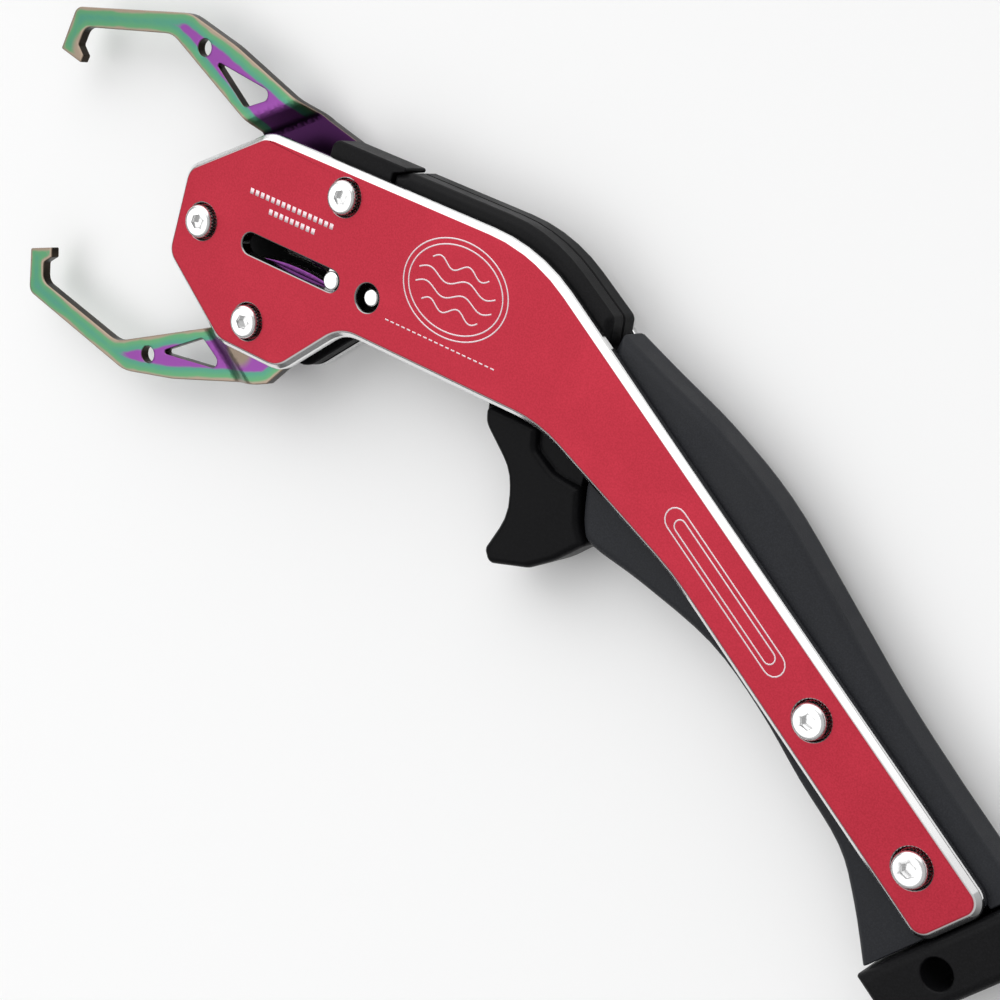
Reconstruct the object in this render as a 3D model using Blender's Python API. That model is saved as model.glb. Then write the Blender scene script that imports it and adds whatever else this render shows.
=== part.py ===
"""A pistol-grip fish gripper: two hooked jaws worked by a trigger through a pull bar.

The tool lies flat on its rear plate. X runs back from the jaws to the handle, Y points up across
the head, Z is the outward normal of the front plate. The origin lies on the rear plate's outer
face, on the head axis, behind the nose screw. The model stands with the trigger pulled, so the
jaws are open. All sizes below are millimetres, and build_mesh turns them into metres.
"""

import math

import bmesh
import bpy

MM = 0.001

# Gaps between pieces
SEAT_GAP = 0.3
RUN_GAP = 0.3
JAW_SIDE_GAP = 0.5

# Layers across the thickness
PLATE_T = 3.0
CORE_T = 11.0
JAW_T = 2.5
EDGE_CHAMFER = 1.3

# Plate outline: head and neck, measured from the nose screw
ORIGIN_BACK = 64.0
NOSE_FRONT = 8.05
NOSE_HALF = 10.0
HEAD_HALF = 23.6
HEAD_CORNER_X = 11.6
NOSE_CORNER_R = 5.0
HEAD_CORNER_R = 7.0
LOBE_CORNER_R = 7.5
LOBE_REAR = 29.6
LOBE_SLOPE_DEG = 46.4
NECK_TOP = 23.9
NECK_BOTTOM = 9.5
TRIGGER_CORNER_X = 94.5

# Handle: a line that leaves the neck's top edge, and distances along and across it
BEND_X = 83.1
HANDLE_DEG = -31.2
HANDLE_W = 16.6
HANDLE_TAPER_S = 67.2
HANDLE_LENGTH = 151.0
BUTT_TILT_DEG = 7.0
CAP_LENGTH = 12.0
LANYARD_R = 3.2

# Screws, pins and bushes
SCREW_HEAD_R = 3.6
SCREW_HEAD_H = 2.8
SCREW_PROUD = 1.8
SCREW_R = 2.0
HEX_R = 1.75
HEX_DEPTH = 1.8
COUNTERBORE_R = 4.0
UPPER_PIVOT = (35.4, 17.6)
LOWER_PIVOT = (18.6, -16.1)
NECK_DOWEL = (103.0, 3.0)
DOWEL_R = 3.0
DOWEL_SEAT = 1.2
HANDLE_SCREW_S = 105.0
BUTT_SCREW_S = 137.0
SLEEVE_R = 3.6
BUSH_R = 3.6
BUSH_SHOULDER_R = 4.6
DRIVE_PIN_R = 2.0
DRIVE_PIN_X = 37.1
TRAVEL = 22.8
GUIDE_PIN_X = 47.3
GUIDE_PIN_R = 1.9
GUIDE_NECK_R = 1.5
GUIDE_HOLE_R = 3.0
GUIDE_RECESS = 1.2

# Pull bar, spring and trigger
BAR_HALF = 5.5
BAR_NOSE = 5.7
BAR_REAR = 93.0
BAR_WINDOW_GAP = 0.8
CROSS_PIN_X = 88.0
CROSS_PIN_R = 1.0
SPRING_WIRE_R = 0.3
SPRING_TURNS = 13
WEB_T = 6.0
WEB_FRONT = 79.5
WEB_REAR = 105.2
LUG_FRONT = 80.5
LUG_REAR = 91.5
LUG_T = 2.0
LUG_DEPTH = 6.0
TRIGGER_T = 9.8
TRIGGER_EDGE = 1.6
TRIGGER_PIN_R = 1.25
TRIGGER_PIN_XS = (83.4, 88.8)
TRIGGER_PIN_Y = -9.1

# Jaws, in the arm frame: x back from the tip, y away from the closing line
UPPER_TIP = {"x": -53.4, "turn": 0.0, "slope": 1.9}
LOWER_TIP = {"x": -50.0, "turn": 4.4, "slope": -5.6}
UPPER_OPEN_DEG = 12.9
LOWER_OPEN_DEG = 20.0
UPPER_SWING_DEG = 15.5
LOWER_SWING_DEG = 16.7
HOOK_H = 10.6
HOOK_W = 4.6
TIP_HALF = 3.4
TIP_GAP = 0.4
CROWN = (27.0, 26.2)
SHOULDER = (42.0, 26.6)
ARM_TOP_END = (69.5, 24.7)
ARM_BEND = (24.5, 19.7)
ARM_UNDER_END = (55.5, 13.4)
JAW_HOLE = (34.3, 21.8)
JAW_HOLE_R = 1.9
WINDOW = ((37.8, 20.9, 0.5), (57.6, 23.3, 1.4), (50.6, 16.5, 1.2))
RAMP_START = ((50.0, 13.4), (59.2, 23.5))
RAMP_LENGTH = 6.0
RAMP_STEPS = 6
CAM_WALL = 1.7
BOSS_R = 7.3

# Body, blocks and grips
BODY_TOP = 26.9
BODY_INSET = 1.9
BODY_EDGE = 1.2
STOP_BLOCK_TOP = 27.5
STOP_BLOCK_FRONT = 26.5
STOP_BLOCK_REAR = 43.1
SEAM_START = (38.6, 23.7)
SEAM_END = (48.8, 27.8)
CHEEK_TOP_Z = 6.8
GRIP_EDGE = 2.4

ARC_STEP_DEG = 15.0
FLAT_RIM = 0.3
LEAST_R = 0.3

REAR_FACE = 0.0
CORE_LOW = PLATE_T
CORE_HIGH = PLATE_T + CORE_T
FRONT_FACE = CORE_HIGH + PLATE_T
MID_Z = FRONT_FACE / 2
UPPER_JAW_Z = CORE_LOW + JAW_SIDE_GAP
LOWER_JAW_Z = CORE_HIGH - JAW_SIDE_GAP - JAW_T
BAR_Z = UPPER_JAW_Z + JAW_T + JAW_SIDE_GAP
BAR_T = 2 * (MID_Z - BAR_Z)
SPRING_COIL_R = BAR_T / 2 - SPRING_WIRE_R
BAR_WINDOW_HALF = BAR_T / 2 + BAR_WINDOW_GAP
JAW_JOG = MID_Z - (UPPER_JAW_Z + JAW_T / 2)
SLOT_HALF = DRIVE_PIN_R + RUN_GAP
CAM_END_R = SLOT_HALF + CAM_WALL
HALF_SPLIT = SEAT_GAP / 2

HANDLE_DIR = (math.cos(math.radians(HANDLE_DEG)), math.sin(math.radians(HANDLE_DEG)))
HANDLE_NORMAL = (-HANDLE_DIR[1], HANDLE_DIR[0])


# ---------------------------------------------------------------- plane geometry

def turn(point, degrees, centre=(0.0, 0.0)):
    """The point turned about the centre, counter-clockwise."""
    angle = math.radians(degrees)
    dx = point[0] - centre[0]
    dy = point[1] - centre[1]
    x = centre[0] + dx * math.cos(angle) - dy * math.sin(angle)
    y = centre[1] + dx * math.sin(angle) + dy * math.cos(angle)
    return (x, y) + tuple(point[2:])


def handle_point(along, across, *radius):
    """A point at a distance along the handle's top line, and across it away from the palm edge."""
    x = BEND_X + HANDLE_DIR[0] * along + HANDLE_NORMAL[0] * across
    y = NECK_TOP + HANDLE_DIR[1] * along + HANDLE_NORMAL[1] * across
    return (x, y) + radius


def butt_along(across, beyond=0.0):
    """Where the tilted end line of the handle lies, at a distance across the handle."""
    return HANDLE_LENGTH + beyond + across * math.tan(math.radians(BUTT_TILT_DEG))


def rounded(corners, step_deg=ARC_STEP_DEG):
    """A closed outline from (x, y, radius) corners, with each corner as an arc."""
    outline = []
    count = len(corners)
    for index, corner in enumerate(corners):
        before = corners[index - 1]
        after = corners[(index + 1) % count]
        radius = corner[2] if len(corner) > 2 else 0.0
        to_before = (before[0] - corner[0], before[1] - corner[1])
        to_after = (after[0] - corner[0], after[1] - corner[1])
        reach_before = math.hypot(*to_before)
        reach_after = math.hypot(*to_after)
        cosine = (to_before[0] * to_after[0] + to_before[1] * to_after[1]) / (reach_before * reach_after)
        opening = math.acos(max(-1.0, min(1.0, cosine)))
        bend = math.pi - opening
        if radius <= 0 or bend < 0.02:
            outline.append((corner[0], corner[1]))
            continue
        radius = min(radius, 0.48 * min(reach_before, reach_after) * math.tan(opening / 2))
        tangent = radius / math.tan(opening / 2)
        start = (corner[0] + to_before[0] / reach_before * tangent,
                 corner[1] + to_before[1] / reach_before * tangent)
        end = (corner[0] + to_after[0] / reach_after * tangent,
               corner[1] + to_after[1] / reach_after * tangent)
        middle = ((start[0] + end[0]) / 2, (start[1] + end[1]) / 2)
        inward = (middle[0] - corner[0], middle[1] - corner[1])
        scale = radius / math.sin(opening / 2) / math.hypot(*inward)
        centre = (corner[0] + inward[0] * scale, corner[1] + inward[1] * scale)
        first = math.atan2(start[1] - centre[1], start[0] - centre[0])
        sweep = math.atan2(end[1] - centre[1], end[0] - centre[0]) - first
        sweep = (sweep + math.pi) % (2 * math.pi) - math.pi
        steps = max(1, math.ceil(abs(math.degrees(sweep)) / step_deg))
        for step in range(steps + 1):
            angle = first + sweep * step / steps
            outline.append((centre[0] + radius * math.cos(angle), centre[1] + radius * math.sin(angle)))
    return outline


def smooth(points, steps=4):
    """Points on a Catmull-Rom curve through the given points, ends included."""
    curve = []
    last = len(points) - 1
    for index in range(last):
        p0 = points[max(index - 1, 0)]
        p1 = points[index]
        p2 = points[index + 1]
        p3 = points[min(index + 2, last)]
        for step in range(steps):
            t = step / steps
            curve.append(tuple(
                0.5 * (2 * b + (c - a) * t + (2 * a - 5 * b + 4 * c - d) * t * t
                       + (3 * b - a - 3 * c + d) * t ** 3)
                for a, b, c, d in zip(p0, p1, p2, p3)))
    curve.append(tuple(points[-1]))
    return curve


def anticlockwise(outline):
    """The outline, reversed if it runs clockwise."""
    area = 0.0
    for (x0, y0), (x1, y1) in zip(outline, outline[1:] + outline[:1]):
        area += x0 * y1 - x1 * y0
    return outline if area > 0 else outline[::-1]


def inset(outline, distances):
    """The anti-clockwise outline moved inwards, by one distance or by a distance for each edge."""
    count = len(outline)
    if not isinstance(distances, list):
        distances = [distances] * count
    moved = []
    for index, point in enumerate(outline):
        first = edge_normal(outline[index - 1], point)
        second = edge_normal(point, outline[(index + 1) % count])
        near = distances[index - 1]
        far = distances[index]
        bend = first[0] * second[1] - first[1] * second[0]
        if abs(bend) < 1e-3:
            share = (near + far) / (2 + 2 * (first[0] * second[0] + first[1] * second[1]))
            shift = ((first[0] + second[0]) * share, (first[1] + second[1]) * share)
        else:
            shift = ((near * second[1] - far * first[1]) / bend, (far * first[0] - near * second[0]) / bend)
        moved.append((point[0] + shift[0], point[1] + shift[1]))
    return moved


def inset_corners(corners, distance):
    """Anti-clockwise (x, y, radius) corners moved inwards, with each arc kept on its own centre."""
    moved = []
    for index, (x, y) in enumerate(inset([corner[:2] for corner in corners], distance)):
        corner = corners[index]
        after = corners[(index + 1) % len(corners)]
        outward = cross(corners[index - 1], corner, after) > 0
        radius = corner[2] if len(corner) > 2 else 0.0
        if radius > 0:
            radius = max(LEAST_R, radius - distance if outward else radius + distance)
        moved.append((x, y, radius))
    return moved


def edge_normal(start, end):
    """The inward normal of an edge of an anti-clockwise outline."""
    length = math.hypot(end[0] - start[0], end[1] - start[1])
    return ((start[1] - end[1]) / length, (end[0] - start[0]) / length)


def circle(centre, radius, steps=32):
    return [(centre[0] + radius * math.cos(2 * math.pi * step / steps),
             centre[1] + radius * math.sin(2 * math.pi * step / steps)) for step in range(steps)]


def stadium(start, end, half, steps=10):
    """A slot's outline: two half circles around its end centres."""
    along = math.atan2(end[1] - start[1], end[0] - start[0])
    outline = []
    for centre, first in ((end, along - math.pi / 2), (start, along + math.pi / 2)):
        for step in range(steps + 1):
            angle = first + math.pi * step / steps
            outline.append((centre[0] + half * math.cos(angle), centre[1] + half * math.sin(angle)))
    return outline


def hull(points):
    """The convex hull of the points, anti-clockwise."""
    ordered = sorted(set((round(x, 6), round(y, 6)) for x, y in points))

    def half(sequence):
        chain = []
        for point in sequence:
            while len(chain) > 1 and cross(chain[-2], chain[-1], point) <= 0:
                chain.pop()
            chain.append(point)
        return chain[:-1]

    return half(ordered) + half(ordered[::-1])


def cross(origin, first, second):
    return ((first[0] - origin[0]) * (second[1] - origin[1])
            - (first[1] - origin[1]) * (second[0] - origin[0]))


# ---------------------------------------------------------------- Blender objects

def clear_scene():
    for old in list(bpy.data.objects):
        bpy.data.objects.remove(old, do_unlink=True)


def material(name, colour, roughness, metallic):
    made = bpy.data.materials.new(name)
    made.use_nodes = True
    shader = made.node_tree.nodes["Principled BSDF"]
    shader.inputs["Base Color"].default_value = (*colour, 1.0)
    shader.inputs["Roughness"].default_value = roughness
    shader.inputs["Metallic"].default_value = metallic
    made.diffuse_color = (*colour, 1.0)
    return made


def add_empty(name, place, parent=None):
    empty = bpy.data.objects.new(name, None)
    empty.location = [value * MM for value in place]
    empty.parent = parent
    bpy.context.scene.collection.objects.link(empty)
    return empty


def build_mesh(name, points, faces, parent, finish=None, smooth_angle=None):
    """An object from points in millimetres, given in the nose frame, under a joint or frame empty."""
    base = joint_place(parent)
    mesh = bpy.data.meshes.new(name)
    mesh.from_pydata([[(value - start) * MM for value, start in zip(point, base)] for point in points],
                     [], faces)
    mesh.update()
    made = bpy.data.objects.new(name, mesh)
    bpy.context.scene.collection.objects.link(made)
    made.parent = parent
    if finish:
        mesh.materials.append(finish)
    if smooth_angle:
        mesh.shade_smooth()
        mesh.set_sharp_from_angle(angle=math.radians(smooth_angle))
    return made


def joint_place(parent):
    """The empty's place in the nose frame, in millimetres."""
    place = [0.0, 0.0, 0.0]
    while parent and parent is not assembly:
        place = [value + move / MM for value, move in zip(place, parent.location)]
        parent = parent.parent
    return place


def stacked(name, rings, parent, finish=None, smooth_angle=None):
    """A closed solid from rings of (outline, z) with equal counts, bottom to top."""
    count = len(rings[0][0])
    points = [(x, y, z) for outline, z in rings for x, y in outline]
    faces = [list(range(count))[::-1]]
    for level in range(len(rings) - 1):
        low = level * count
        for index in range(count):
            after = (index + 1) % count
            faces.append([low + index, low + after, low + count + after, low + count + index])
    top = (len(rings) - 1) * count
    faces.append([top + index for index in range(count)])
    return build_mesh(name, points, faces, parent, finish, smooth_angle)


def prism(name, outline, low, high, parent, finish=None, smooth_angle=None):
    outline = anticlockwise(outline)
    return stacked(name, [(outline, low), (outline, high)], parent, finish, smooth_angle)


def pillow(name, outline_at, low, high, edge, parent, finish=None, steps=4):
    """A prism whose two faces meet its sides in a quarter round; outline_at gives each inset outline."""
    rings = [(outline_at(edge + FLAT_RIM), low)]
    for step in range(steps + 1):
        angle = math.pi / 2 * step / steps
        rings.append((outline_at(edge * (1 - math.sin(angle))), low + edge * (1 - math.cos(angle))))
    rings += [(ring, low + high - z) for ring, z in rings[::-1]]
    return stacked(name, rings, parent, finish, 50)


def turned(name, profile, centre, parent, finish=None, steps=32):
    """A turned solid: the profile is (radius, z) from the low end to the high end, or a closed ring."""
    solid = profile[0][0] == 0.0
    points = []
    for radius, z in profile:
        if radius == 0.0:
            points.append([(centre[0], centre[1], z)])
        else:
            points.append([(x, y, z) for x, y in circle(centre, radius, steps)])
    starts = []
    flat = []
    for ring in points:
        starts.append(len(flat))
        flat += ring
    pairs = list(zip(range(len(profile) - 1), range(1, len(profile))))
    if not solid:
        pairs.append((len(profile) - 1, 0))
    faces = []
    for low, high in pairs:
        for index in range(steps):
            after = (index + 1) % steps
            if len(points[low]) == 1:
                faces.append([starts[low], starts[high] + after, starts[high] + index])
            elif len(points[high]) == 1:
                faces.append([starts[low] + index, starts[low] + after, starts[high]])
            else:
                faces.append([starts[low] + index, starts[low] + after,
                              starts[high] + after, starts[high] + index])
    return build_mesh(name, flat, faces, parent, finish, 35)


def tube(name, outer, inner, low, high, centre, parent, finish):
    return turned(name, [(outer, low), (outer, high), (inner, high), (inner, low)], centre, parent, finish)


def cut(target, cutter, operation="DIFFERENCE"):
    cutter.hide_render = True
    cutter.display_type = "WIRE"
    change = target.modifiers.new(cutter.name, "BOOLEAN")
    change.operation = operation
    change.solver = "EXACT"
    change.object = cutter


def drill(target, name, centre, radius, low, high, parent, steps=32):
    cut(target, prism(name, circle(centre, radius, steps), low, high, parent))


# ---------------------------------------------------------------- outlines of the frame

def plate_outline():
    """Head, neck and handle of a side plate, anti-clockwise from the front lower corner."""
    rise = math.tan(math.radians(LOBE_SLOPE_DEG))
    neck_corner_x = LOBE_REAR + (HEAD_HALF - NECK_BOTTOM) / rise
    lower_across = -HANDLE_W
    corners = [
        (-NOSE_FRONT, -NOSE_HALF, NOSE_CORNER_R),
        (HEAD_CORNER_X, -HEAD_HALF, HEAD_CORNER_R),
        (LOBE_REAR, -HEAD_HALF, LOBE_CORNER_R),
        (neck_corner_x, -NECK_BOTTOM, 9.0),
        (TRIGGER_CORNER_X, -NECK_BOTTOM, 30.0),
        handle_point(HANDLE_TAPER_S, lower_across, 60.0),
        handle_point(butt_along(lower_across), lower_across, 4.0),
        handle_point(butt_along(0), 0.0, 4.0),
        (BEND_X, NECK_TOP, 40.0),
        (HEAD_CORNER_X, NECK_TOP, HEAD_CORNER_R),
        (-NOSE_FRONT, NOSE_HALF, NOSE_CORNER_R),
    ]
    return rounded(corners, 7.5)


def handle_centre(along):
    return handle_point(along, -HANDLE_W / 2)


def screw_places():
    return {
        "nose_screw": (0.0, 0.0),
        "upper_pivot_screw": UPPER_PIVOT,
        "lower_pivot_screw": LOWER_PIVOT,
        "handle_screw": handle_centre(HANDLE_SCREW_S),
        "butt_screw": handle_centre(BUTT_SCREW_S),
    }


# ---------------------------------------------------------------- frame pieces

def make_plate(name, outer_z, inner_z, finish):
    """A side plate with a chamfer round its outer face, drilled for screws, slot and guide pin."""
    outline = anticlockwise(plate_outline())
    way = 1 if outer_z > inner_z else -1
    rings = [(outline, inner_z), (outline, outer_z - way * EDGE_CHAMFER), (inset(outline, EDGE_CHAMFER), outer_z)]
    if way < 0:
        rings = rings[::-1]
    plate = stacked(name, rings, assembly, finish)
    low = min(outer_z, inner_z) - 1
    high = max(outer_z, inner_z) + 1
    slot = stadium((DRIVE_PIN_X - TRAVEL, 0.0), (DRIVE_PIN_X, 0.0), SLOT_HALF)
    cut(plate, prism(name + "_slot_cut", slot, low, high, assembly))
    drill(plate, name + "_guide_cut", (GUIDE_PIN_X, 0.0), GUIDE_HOLE_R, low, high, assembly)
    seat = sorted((inner_z - way, inner_z + way * (DOWEL_SEAT + SEAT_GAP)))
    drill(plate, name + "_dowel_cut", NECK_DOWEL, DOWEL_R + SEAT_GAP, seat[0], seat[1], assembly)
    for screw, place in screw_places().items():
        drill(plate, f"{name}_{screw}_cut", place, SCREW_R + SEAT_GAP, low, high, assembly, 24)
        if way > 0:
            floor = outer_z + SCREW_PROUD - SCREW_HEAD_H - SEAT_GAP
            drill(plate, f"{name}_{screw}_seat_cut", place, COUNTERBORE_R, floor, high, assembly)
    return plate


def body_outline(front_x):
    """The half core's outline: proud along the neck's top, inside the plates along the handle."""
    seam_slope = (SEAM_END[1] - SEAM_START[1]) / (SEAM_END[0] - SEAM_START[0])
    seam_y = SEAM_START[1] + (front_x - SEAM_START[0]) * seam_slope - SEAT_GAP
    seam_top_x = SEAM_START[0] + (BODY_TOP + SEAT_GAP - SEAM_START[1]) / seam_slope
    lower = -HANDLE_W + BODY_INSET
    rise = BODY_TOP - NECK_TOP
    corners = [
        (front_x, -NECK_BOTTOM + 0.4),
        (TRIGGER_CORNER_X, -NECK_BOTTOM + 0.4, 30.0),
        handle_point(HANDLE_TAPER_S, lower, 40.0),
        handle_point(butt_along(lower, -SEAT_GAP), lower),
        handle_point(butt_along(-BODY_INSET, -SEAT_GAP), -BODY_INSET),
        handle_point(24.0, -BODY_INSET, 2.0),
        handle_point(20.0, rise, 2.0),
        (BEND_X, BODY_TOP, 40.0),
        (seam_top_x, BODY_TOP),
        (front_x, seam_y),
    ]
    return rounded(corners, 7.5)


def make_body_half(name, low, high, front_x, finish):
    outline = anticlockwise(body_outline(front_x))
    outer_low = low < MID_Z - 1
    edged = inset(outline, BODY_EDGE)
    if outer_low:
        rings = [(edged, low), (outline, low + BODY_EDGE), (outline, high)]
    else:
        rings = [(outline, low), (outline, high - BODY_EDGE), (edged, high)]
    half = stacked(name, rings, assembly, finish)
    channel_rear = BAR_REAR + RUN_GAP + 1.0
    channel = [(front_x - 5, -BAR_HALF - RUN_GAP), (channel_rear, -BAR_HALF - RUN_GAP),
               (channel_rear, BAR_HALF + RUN_GAP), (front_x - 5, BAR_HALF + RUN_GAP)]
    cut(half, prism(name + "_channel_cut", channel, BAR_Z - RUN_GAP, BAR_Z + BAR_T + RUN_GAP, assembly))
    front = WEB_FRONT - TRAVEL - RUN_GAP - 0.3
    rear = WEB_REAR + RUN_GAP + 0.5
    web_way = [(front, -BAR_HALF), (front, -HEAD_HALF), (rear, -HEAD_HALF), (rear, -BAR_HALF)]
    web_low = MID_Z - WEB_T / 2 - RUN_GAP
    web_high = MID_Z + WEB_T / 2 + RUN_GAP
    cut(half, prism(name + "_trigger_cut", web_way, web_low, web_high, assembly))
    for sleeve in ("handle_screw", "butt_screw"):
        drill(half, f"{name}_{sleeve}_cut", screw_places()[sleeve], SLEEVE_R + SEAT_GAP,
              low - 1, high + 1, assembly)
    drill(half, name + "_dowel_cut", NECK_DOWEL, DOWEL_R + SEAT_GAP, low - 1, high + 1, assembly)
    return half


def swept_base(base_corners, side, pivot, open_deg, swing_deg, clearance, steps=8):
    """The hull of a jaw's base as the jaw swings from open to closed, with room round it."""
    high_pivot = (pivot[0], abs(pivot[1]))
    path = cam_path(high_pivot, open_deg, swing_deg)
    points = []
    for step in range(steps + 1):
        angle = swing_deg * step / steps - open_deg
        for corner in base_corners(high_pivot, path):
            x, y = turn(corner[:2], angle, high_pivot)
            points.append((x, y * side))
    return inset(hull(points), -clearance)


def make_body(finish):
    front_x = STOP_BLOCK_REAR + SEAT_GAP
    front = make_body_half("front_body_half", MID_Z + HALF_SPLIT, CORE_HIGH - SEAT_GAP, front_x, finish)
    sweep = swept_base(lower_base, -1, LOWER_PIVOT, LOWER_OPEN_DEG, LOWER_SWING_DEG, SEAT_GAP + 0.1)
    cut(front, prism("lower_cam_sweep_cut", sweep, MID_Z - 1, CORE_HIGH + 1, assembly))
    drill(front, "guide_pin_cut", (GUIDE_PIN_X, 0.0), GUIDE_PIN_R + SEAT_GAP, MID_Z, CORE_HIGH + 1, assembly)
    rear = make_body_half("rear_body_half", CORE_LOW + SEAT_GAP, MID_Z - HALF_SPLIT, front_x, finish)
    sweep = swept_base(upper_base, 1, UPPER_PIVOT, UPPER_OPEN_DEG, UPPER_SWING_DEG, SEAT_GAP + 0.1)
    cut(rear, prism("upper_cam_sweep_cut", sweep, CORE_LOW - 1, MID_Z + 1, assembly))
    return front, rear


def make_stop_block(finish):
    """The block above the upper pivot, which the jaw's base passes behind."""
    slope = (SEAM_END[1] - SEAM_START[1]) / (SEAM_END[0] - SEAM_START[0])
    seam_y = SEAM_START[1] + (STOP_BLOCK_REAR - SEAM_START[0]) * slope
    seam_top_x = SEAM_START[0] + (STOP_BLOCK_TOP - SEAM_START[1]) / slope
    corners = [
        (STOP_BLOCK_FRONT, 9.0, 1.5),
        (STOP_BLOCK_REAR, 9.0, 1.0),
        (STOP_BLOCK_REAR, seam_y),
        (seam_top_x, STOP_BLOCK_TOP, 0.8),
        (STOP_BLOCK_FRONT, STOP_BLOCK_TOP, 2.0),
    ]
    block = prism("upper_stop_block", rounded(corners), BAR_Z - 0.1, CORE_HIGH - SEAT_GAP, assembly, finish)
    drill(block, "stop_block_bush_cut", UPPER_PIVOT, BUSH_SHOULDER_R + SEAT_GAP, 0, FRONT_FACE, assembly)
    return block


def make_cheek_block(finish):
    """The filler under the head axis, in the rear layers behind the lower jaw."""
    drop = 0.6
    rise = math.tan(math.radians(LOBE_SLOPE_DEG))
    top = -BAR_HALF - 1.2
    rear_x = STOP_BLOCK_REAR - SEAT_GAP
    corners = [
        (HEAD_CORNER_X + 1.0, -HEAD_HALF + drop, 2.0),
        (LOBE_REAR, -HEAD_HALF + drop, 5.5),
        (LOBE_REAR + (HEAD_HALF - NECK_BOTTOM - 2 * drop) / rise, -NECK_BOTTOM - drop, 6.0),
        (rear_x, -NECK_BOTTOM - drop + 0.6),
        (rear_x, top),
        (HEAD_CORNER_X + 1.0, top, 1.0),
    ]
    block = prism("lower_cheek_block", rounded(corners), CORE_LOW + SEAT_GAP, CHEEK_TOP_Z, assembly, finish)
    drill(block, "cheek_block_bush_cut", LOWER_PIVOT, BUSH_SHOULDER_R + SEAT_GAP, 0, FRONT_FACE, assembly)
    return block


def make_spacers(finish):
    low = CORE_LOW + SEAT_GAP
    high = CORE_HIGH - SEAT_GAP
    bore = SCREW_R + SEAT_GAP
    places = screw_places()
    tube("nose_spacer", SLEEVE_R, bore, low, high, places["nose_screw"], assembly, finish)
    for name in ("handle", "butt"):
        tube(name + "_sleeve", SLEEVE_R, bore, low, high, places[name + "_screw"], assembly, finish)
    step = UPPER_JAW_Z + JAW_T + RUN_GAP
    turned("upper_pivot_bush", [(BUSH_R, low), (BUSH_R, step), (BUSH_SHOULDER_R, step),
                                (BUSH_SHOULDER_R, high), (bore, high), (bore, low)],
           UPPER_PIVOT, assembly, finish)
    step = LOWER_JAW_Z - RUN_GAP
    turned("lower_pivot_bush", [(BUSH_SHOULDER_R, low), (BUSH_SHOULDER_R, step), (BUSH_R, step),
                                (BUSH_R, high), (bore, high), (bore, low)],
           LOWER_PIVOT, assembly, finish)


def make_dowel(finish):
    """The dowel that lines up both plates and both core halves at the neck."""
    low = CORE_LOW - DOWEL_SEAT
    high = CORE_HIGH + DOWEL_SEAT
    edge = 0.4
    turned("neck_dowel", [(0.0, low), (DOWEL_R - edge, low), (DOWEL_R, low + edge), (DOWEL_R, high - edge),
                          (DOWEL_R - edge, high), (0.0, high)], NECK_DOWEL, assembly, finish)


def make_screws(finish):
    """Low-head socket screws from the front, threaded into the rear plate."""
    top = FRONT_FACE + SCREW_PROUD
    under = top - SCREW_HEAD_H
    edge = 0.35
    for name, place in screw_places().items():
        profile = [(0.0, REAR_FACE + 0.4), (SCREW_R - edge, REAR_FACE + 0.4), (SCREW_R, REAR_FACE + 0.4 + edge),
                   (SCREW_R, under), (SCREW_HEAD_R, under), (SCREW_HEAD_R, top - edge),
                   (SCREW_HEAD_R - edge, top), (0.0, top)]
        screw = turned(name, profile, place, assembly, finish)
        cut(screw, prism(name + "_hex_cut", circle(place, HEX_R, 6), top - HEX_DEPTH, top + 1, assembly))


def make_guide_pin(finish):
    seat = BAR_Z + BAR_T + RUN_GAP + 0.1
    top = FRONT_FACE - GUIDE_RECESS
    edge = 0.3
    turned("guide_pin", [(0.0, BAR_Z + 0.3), (GUIDE_NECK_R, BAR_Z + 0.3), (GUIDE_NECK_R, seat),
                         (GUIDE_PIN_R, seat), (GUIDE_PIN_R, top - edge), (GUIDE_PIN_R - edge, top),
                         (0.0, top)], (GUIDE_PIN_X, 0.0), assembly, finish, 24)


# ---------------------------------------------------------------- grips and cap

def make_palm_grip(finish):
    crest = [handle_point(s, t) for s, t in ((23.6, 2.6), (34, 4.4), (50, 7.4), (68, 8.8), (88, 7.2),
                                             (110, 5.0), (130, 4.2))]
    end = butt_along(4.0, -SEAT_GAP)
    crest.append(handle_point(end, 4.0))
    inner = -BODY_INSET + SEAT_GAP
    back = [handle_point(25.2, inner), handle_point(butt_along(inner, -SEAT_GAP), inner)]
    return make_grip("palm_grip", smooth(crest)[::-1] + back, 2, finish)


def make_grip(name, outline, flat_edges, finish):
    """A moulded grip with round edges, but for its last edges, which meet the core and the cap."""
    def ring(depth):
        return inset(outline, [depth] * (len(outline) - flat_edges) + [0.0] * flat_edges)

    return pillow(name, ring, CORE_LOW + SEAT_GAP, CORE_HIGH - SEAT_GAP, GRIP_EDGE, assembly, finish)


def make_finger_grip(finish):
    """The swell behind the trigger, the finger rests and the toe at the butt."""
    inner = -HANDLE_W + BODY_INSET - 2 * SEAT_GAP
    front_x = WEB_REAR + 1.4
    brow = body_lower_y(front_x)
    front = [(front_x, brow - 1.4), (front_x + 0.4, -18.6), (front_x + 2.3, -25.4), (front_x + 5.6, -28.3)]
    run = [(63.8, 8.4), (81.3, 3.1), (97.0, 2.4), (112.0, 3.6), (126.0, 4.4), (136.0, 8.4)]
    crest = front + [handle_point(s, -HANDLE_W - below) for s, below in run]
    toe = -HANDLE_W - 14.5
    crest.append(handle_point(butt_along(toe, -SEAT_GAP), toe))
    start = (front_x, brow - 2 * SEAT_GAP)
    back = [handle_point(butt_along(inner, -SEAT_GAP), inner), handle_point(HANDLE_TAPER_S, inner)]
    return make_grip("finger_grip", [start] + smooth(crest) + back, 3, finish)


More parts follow.
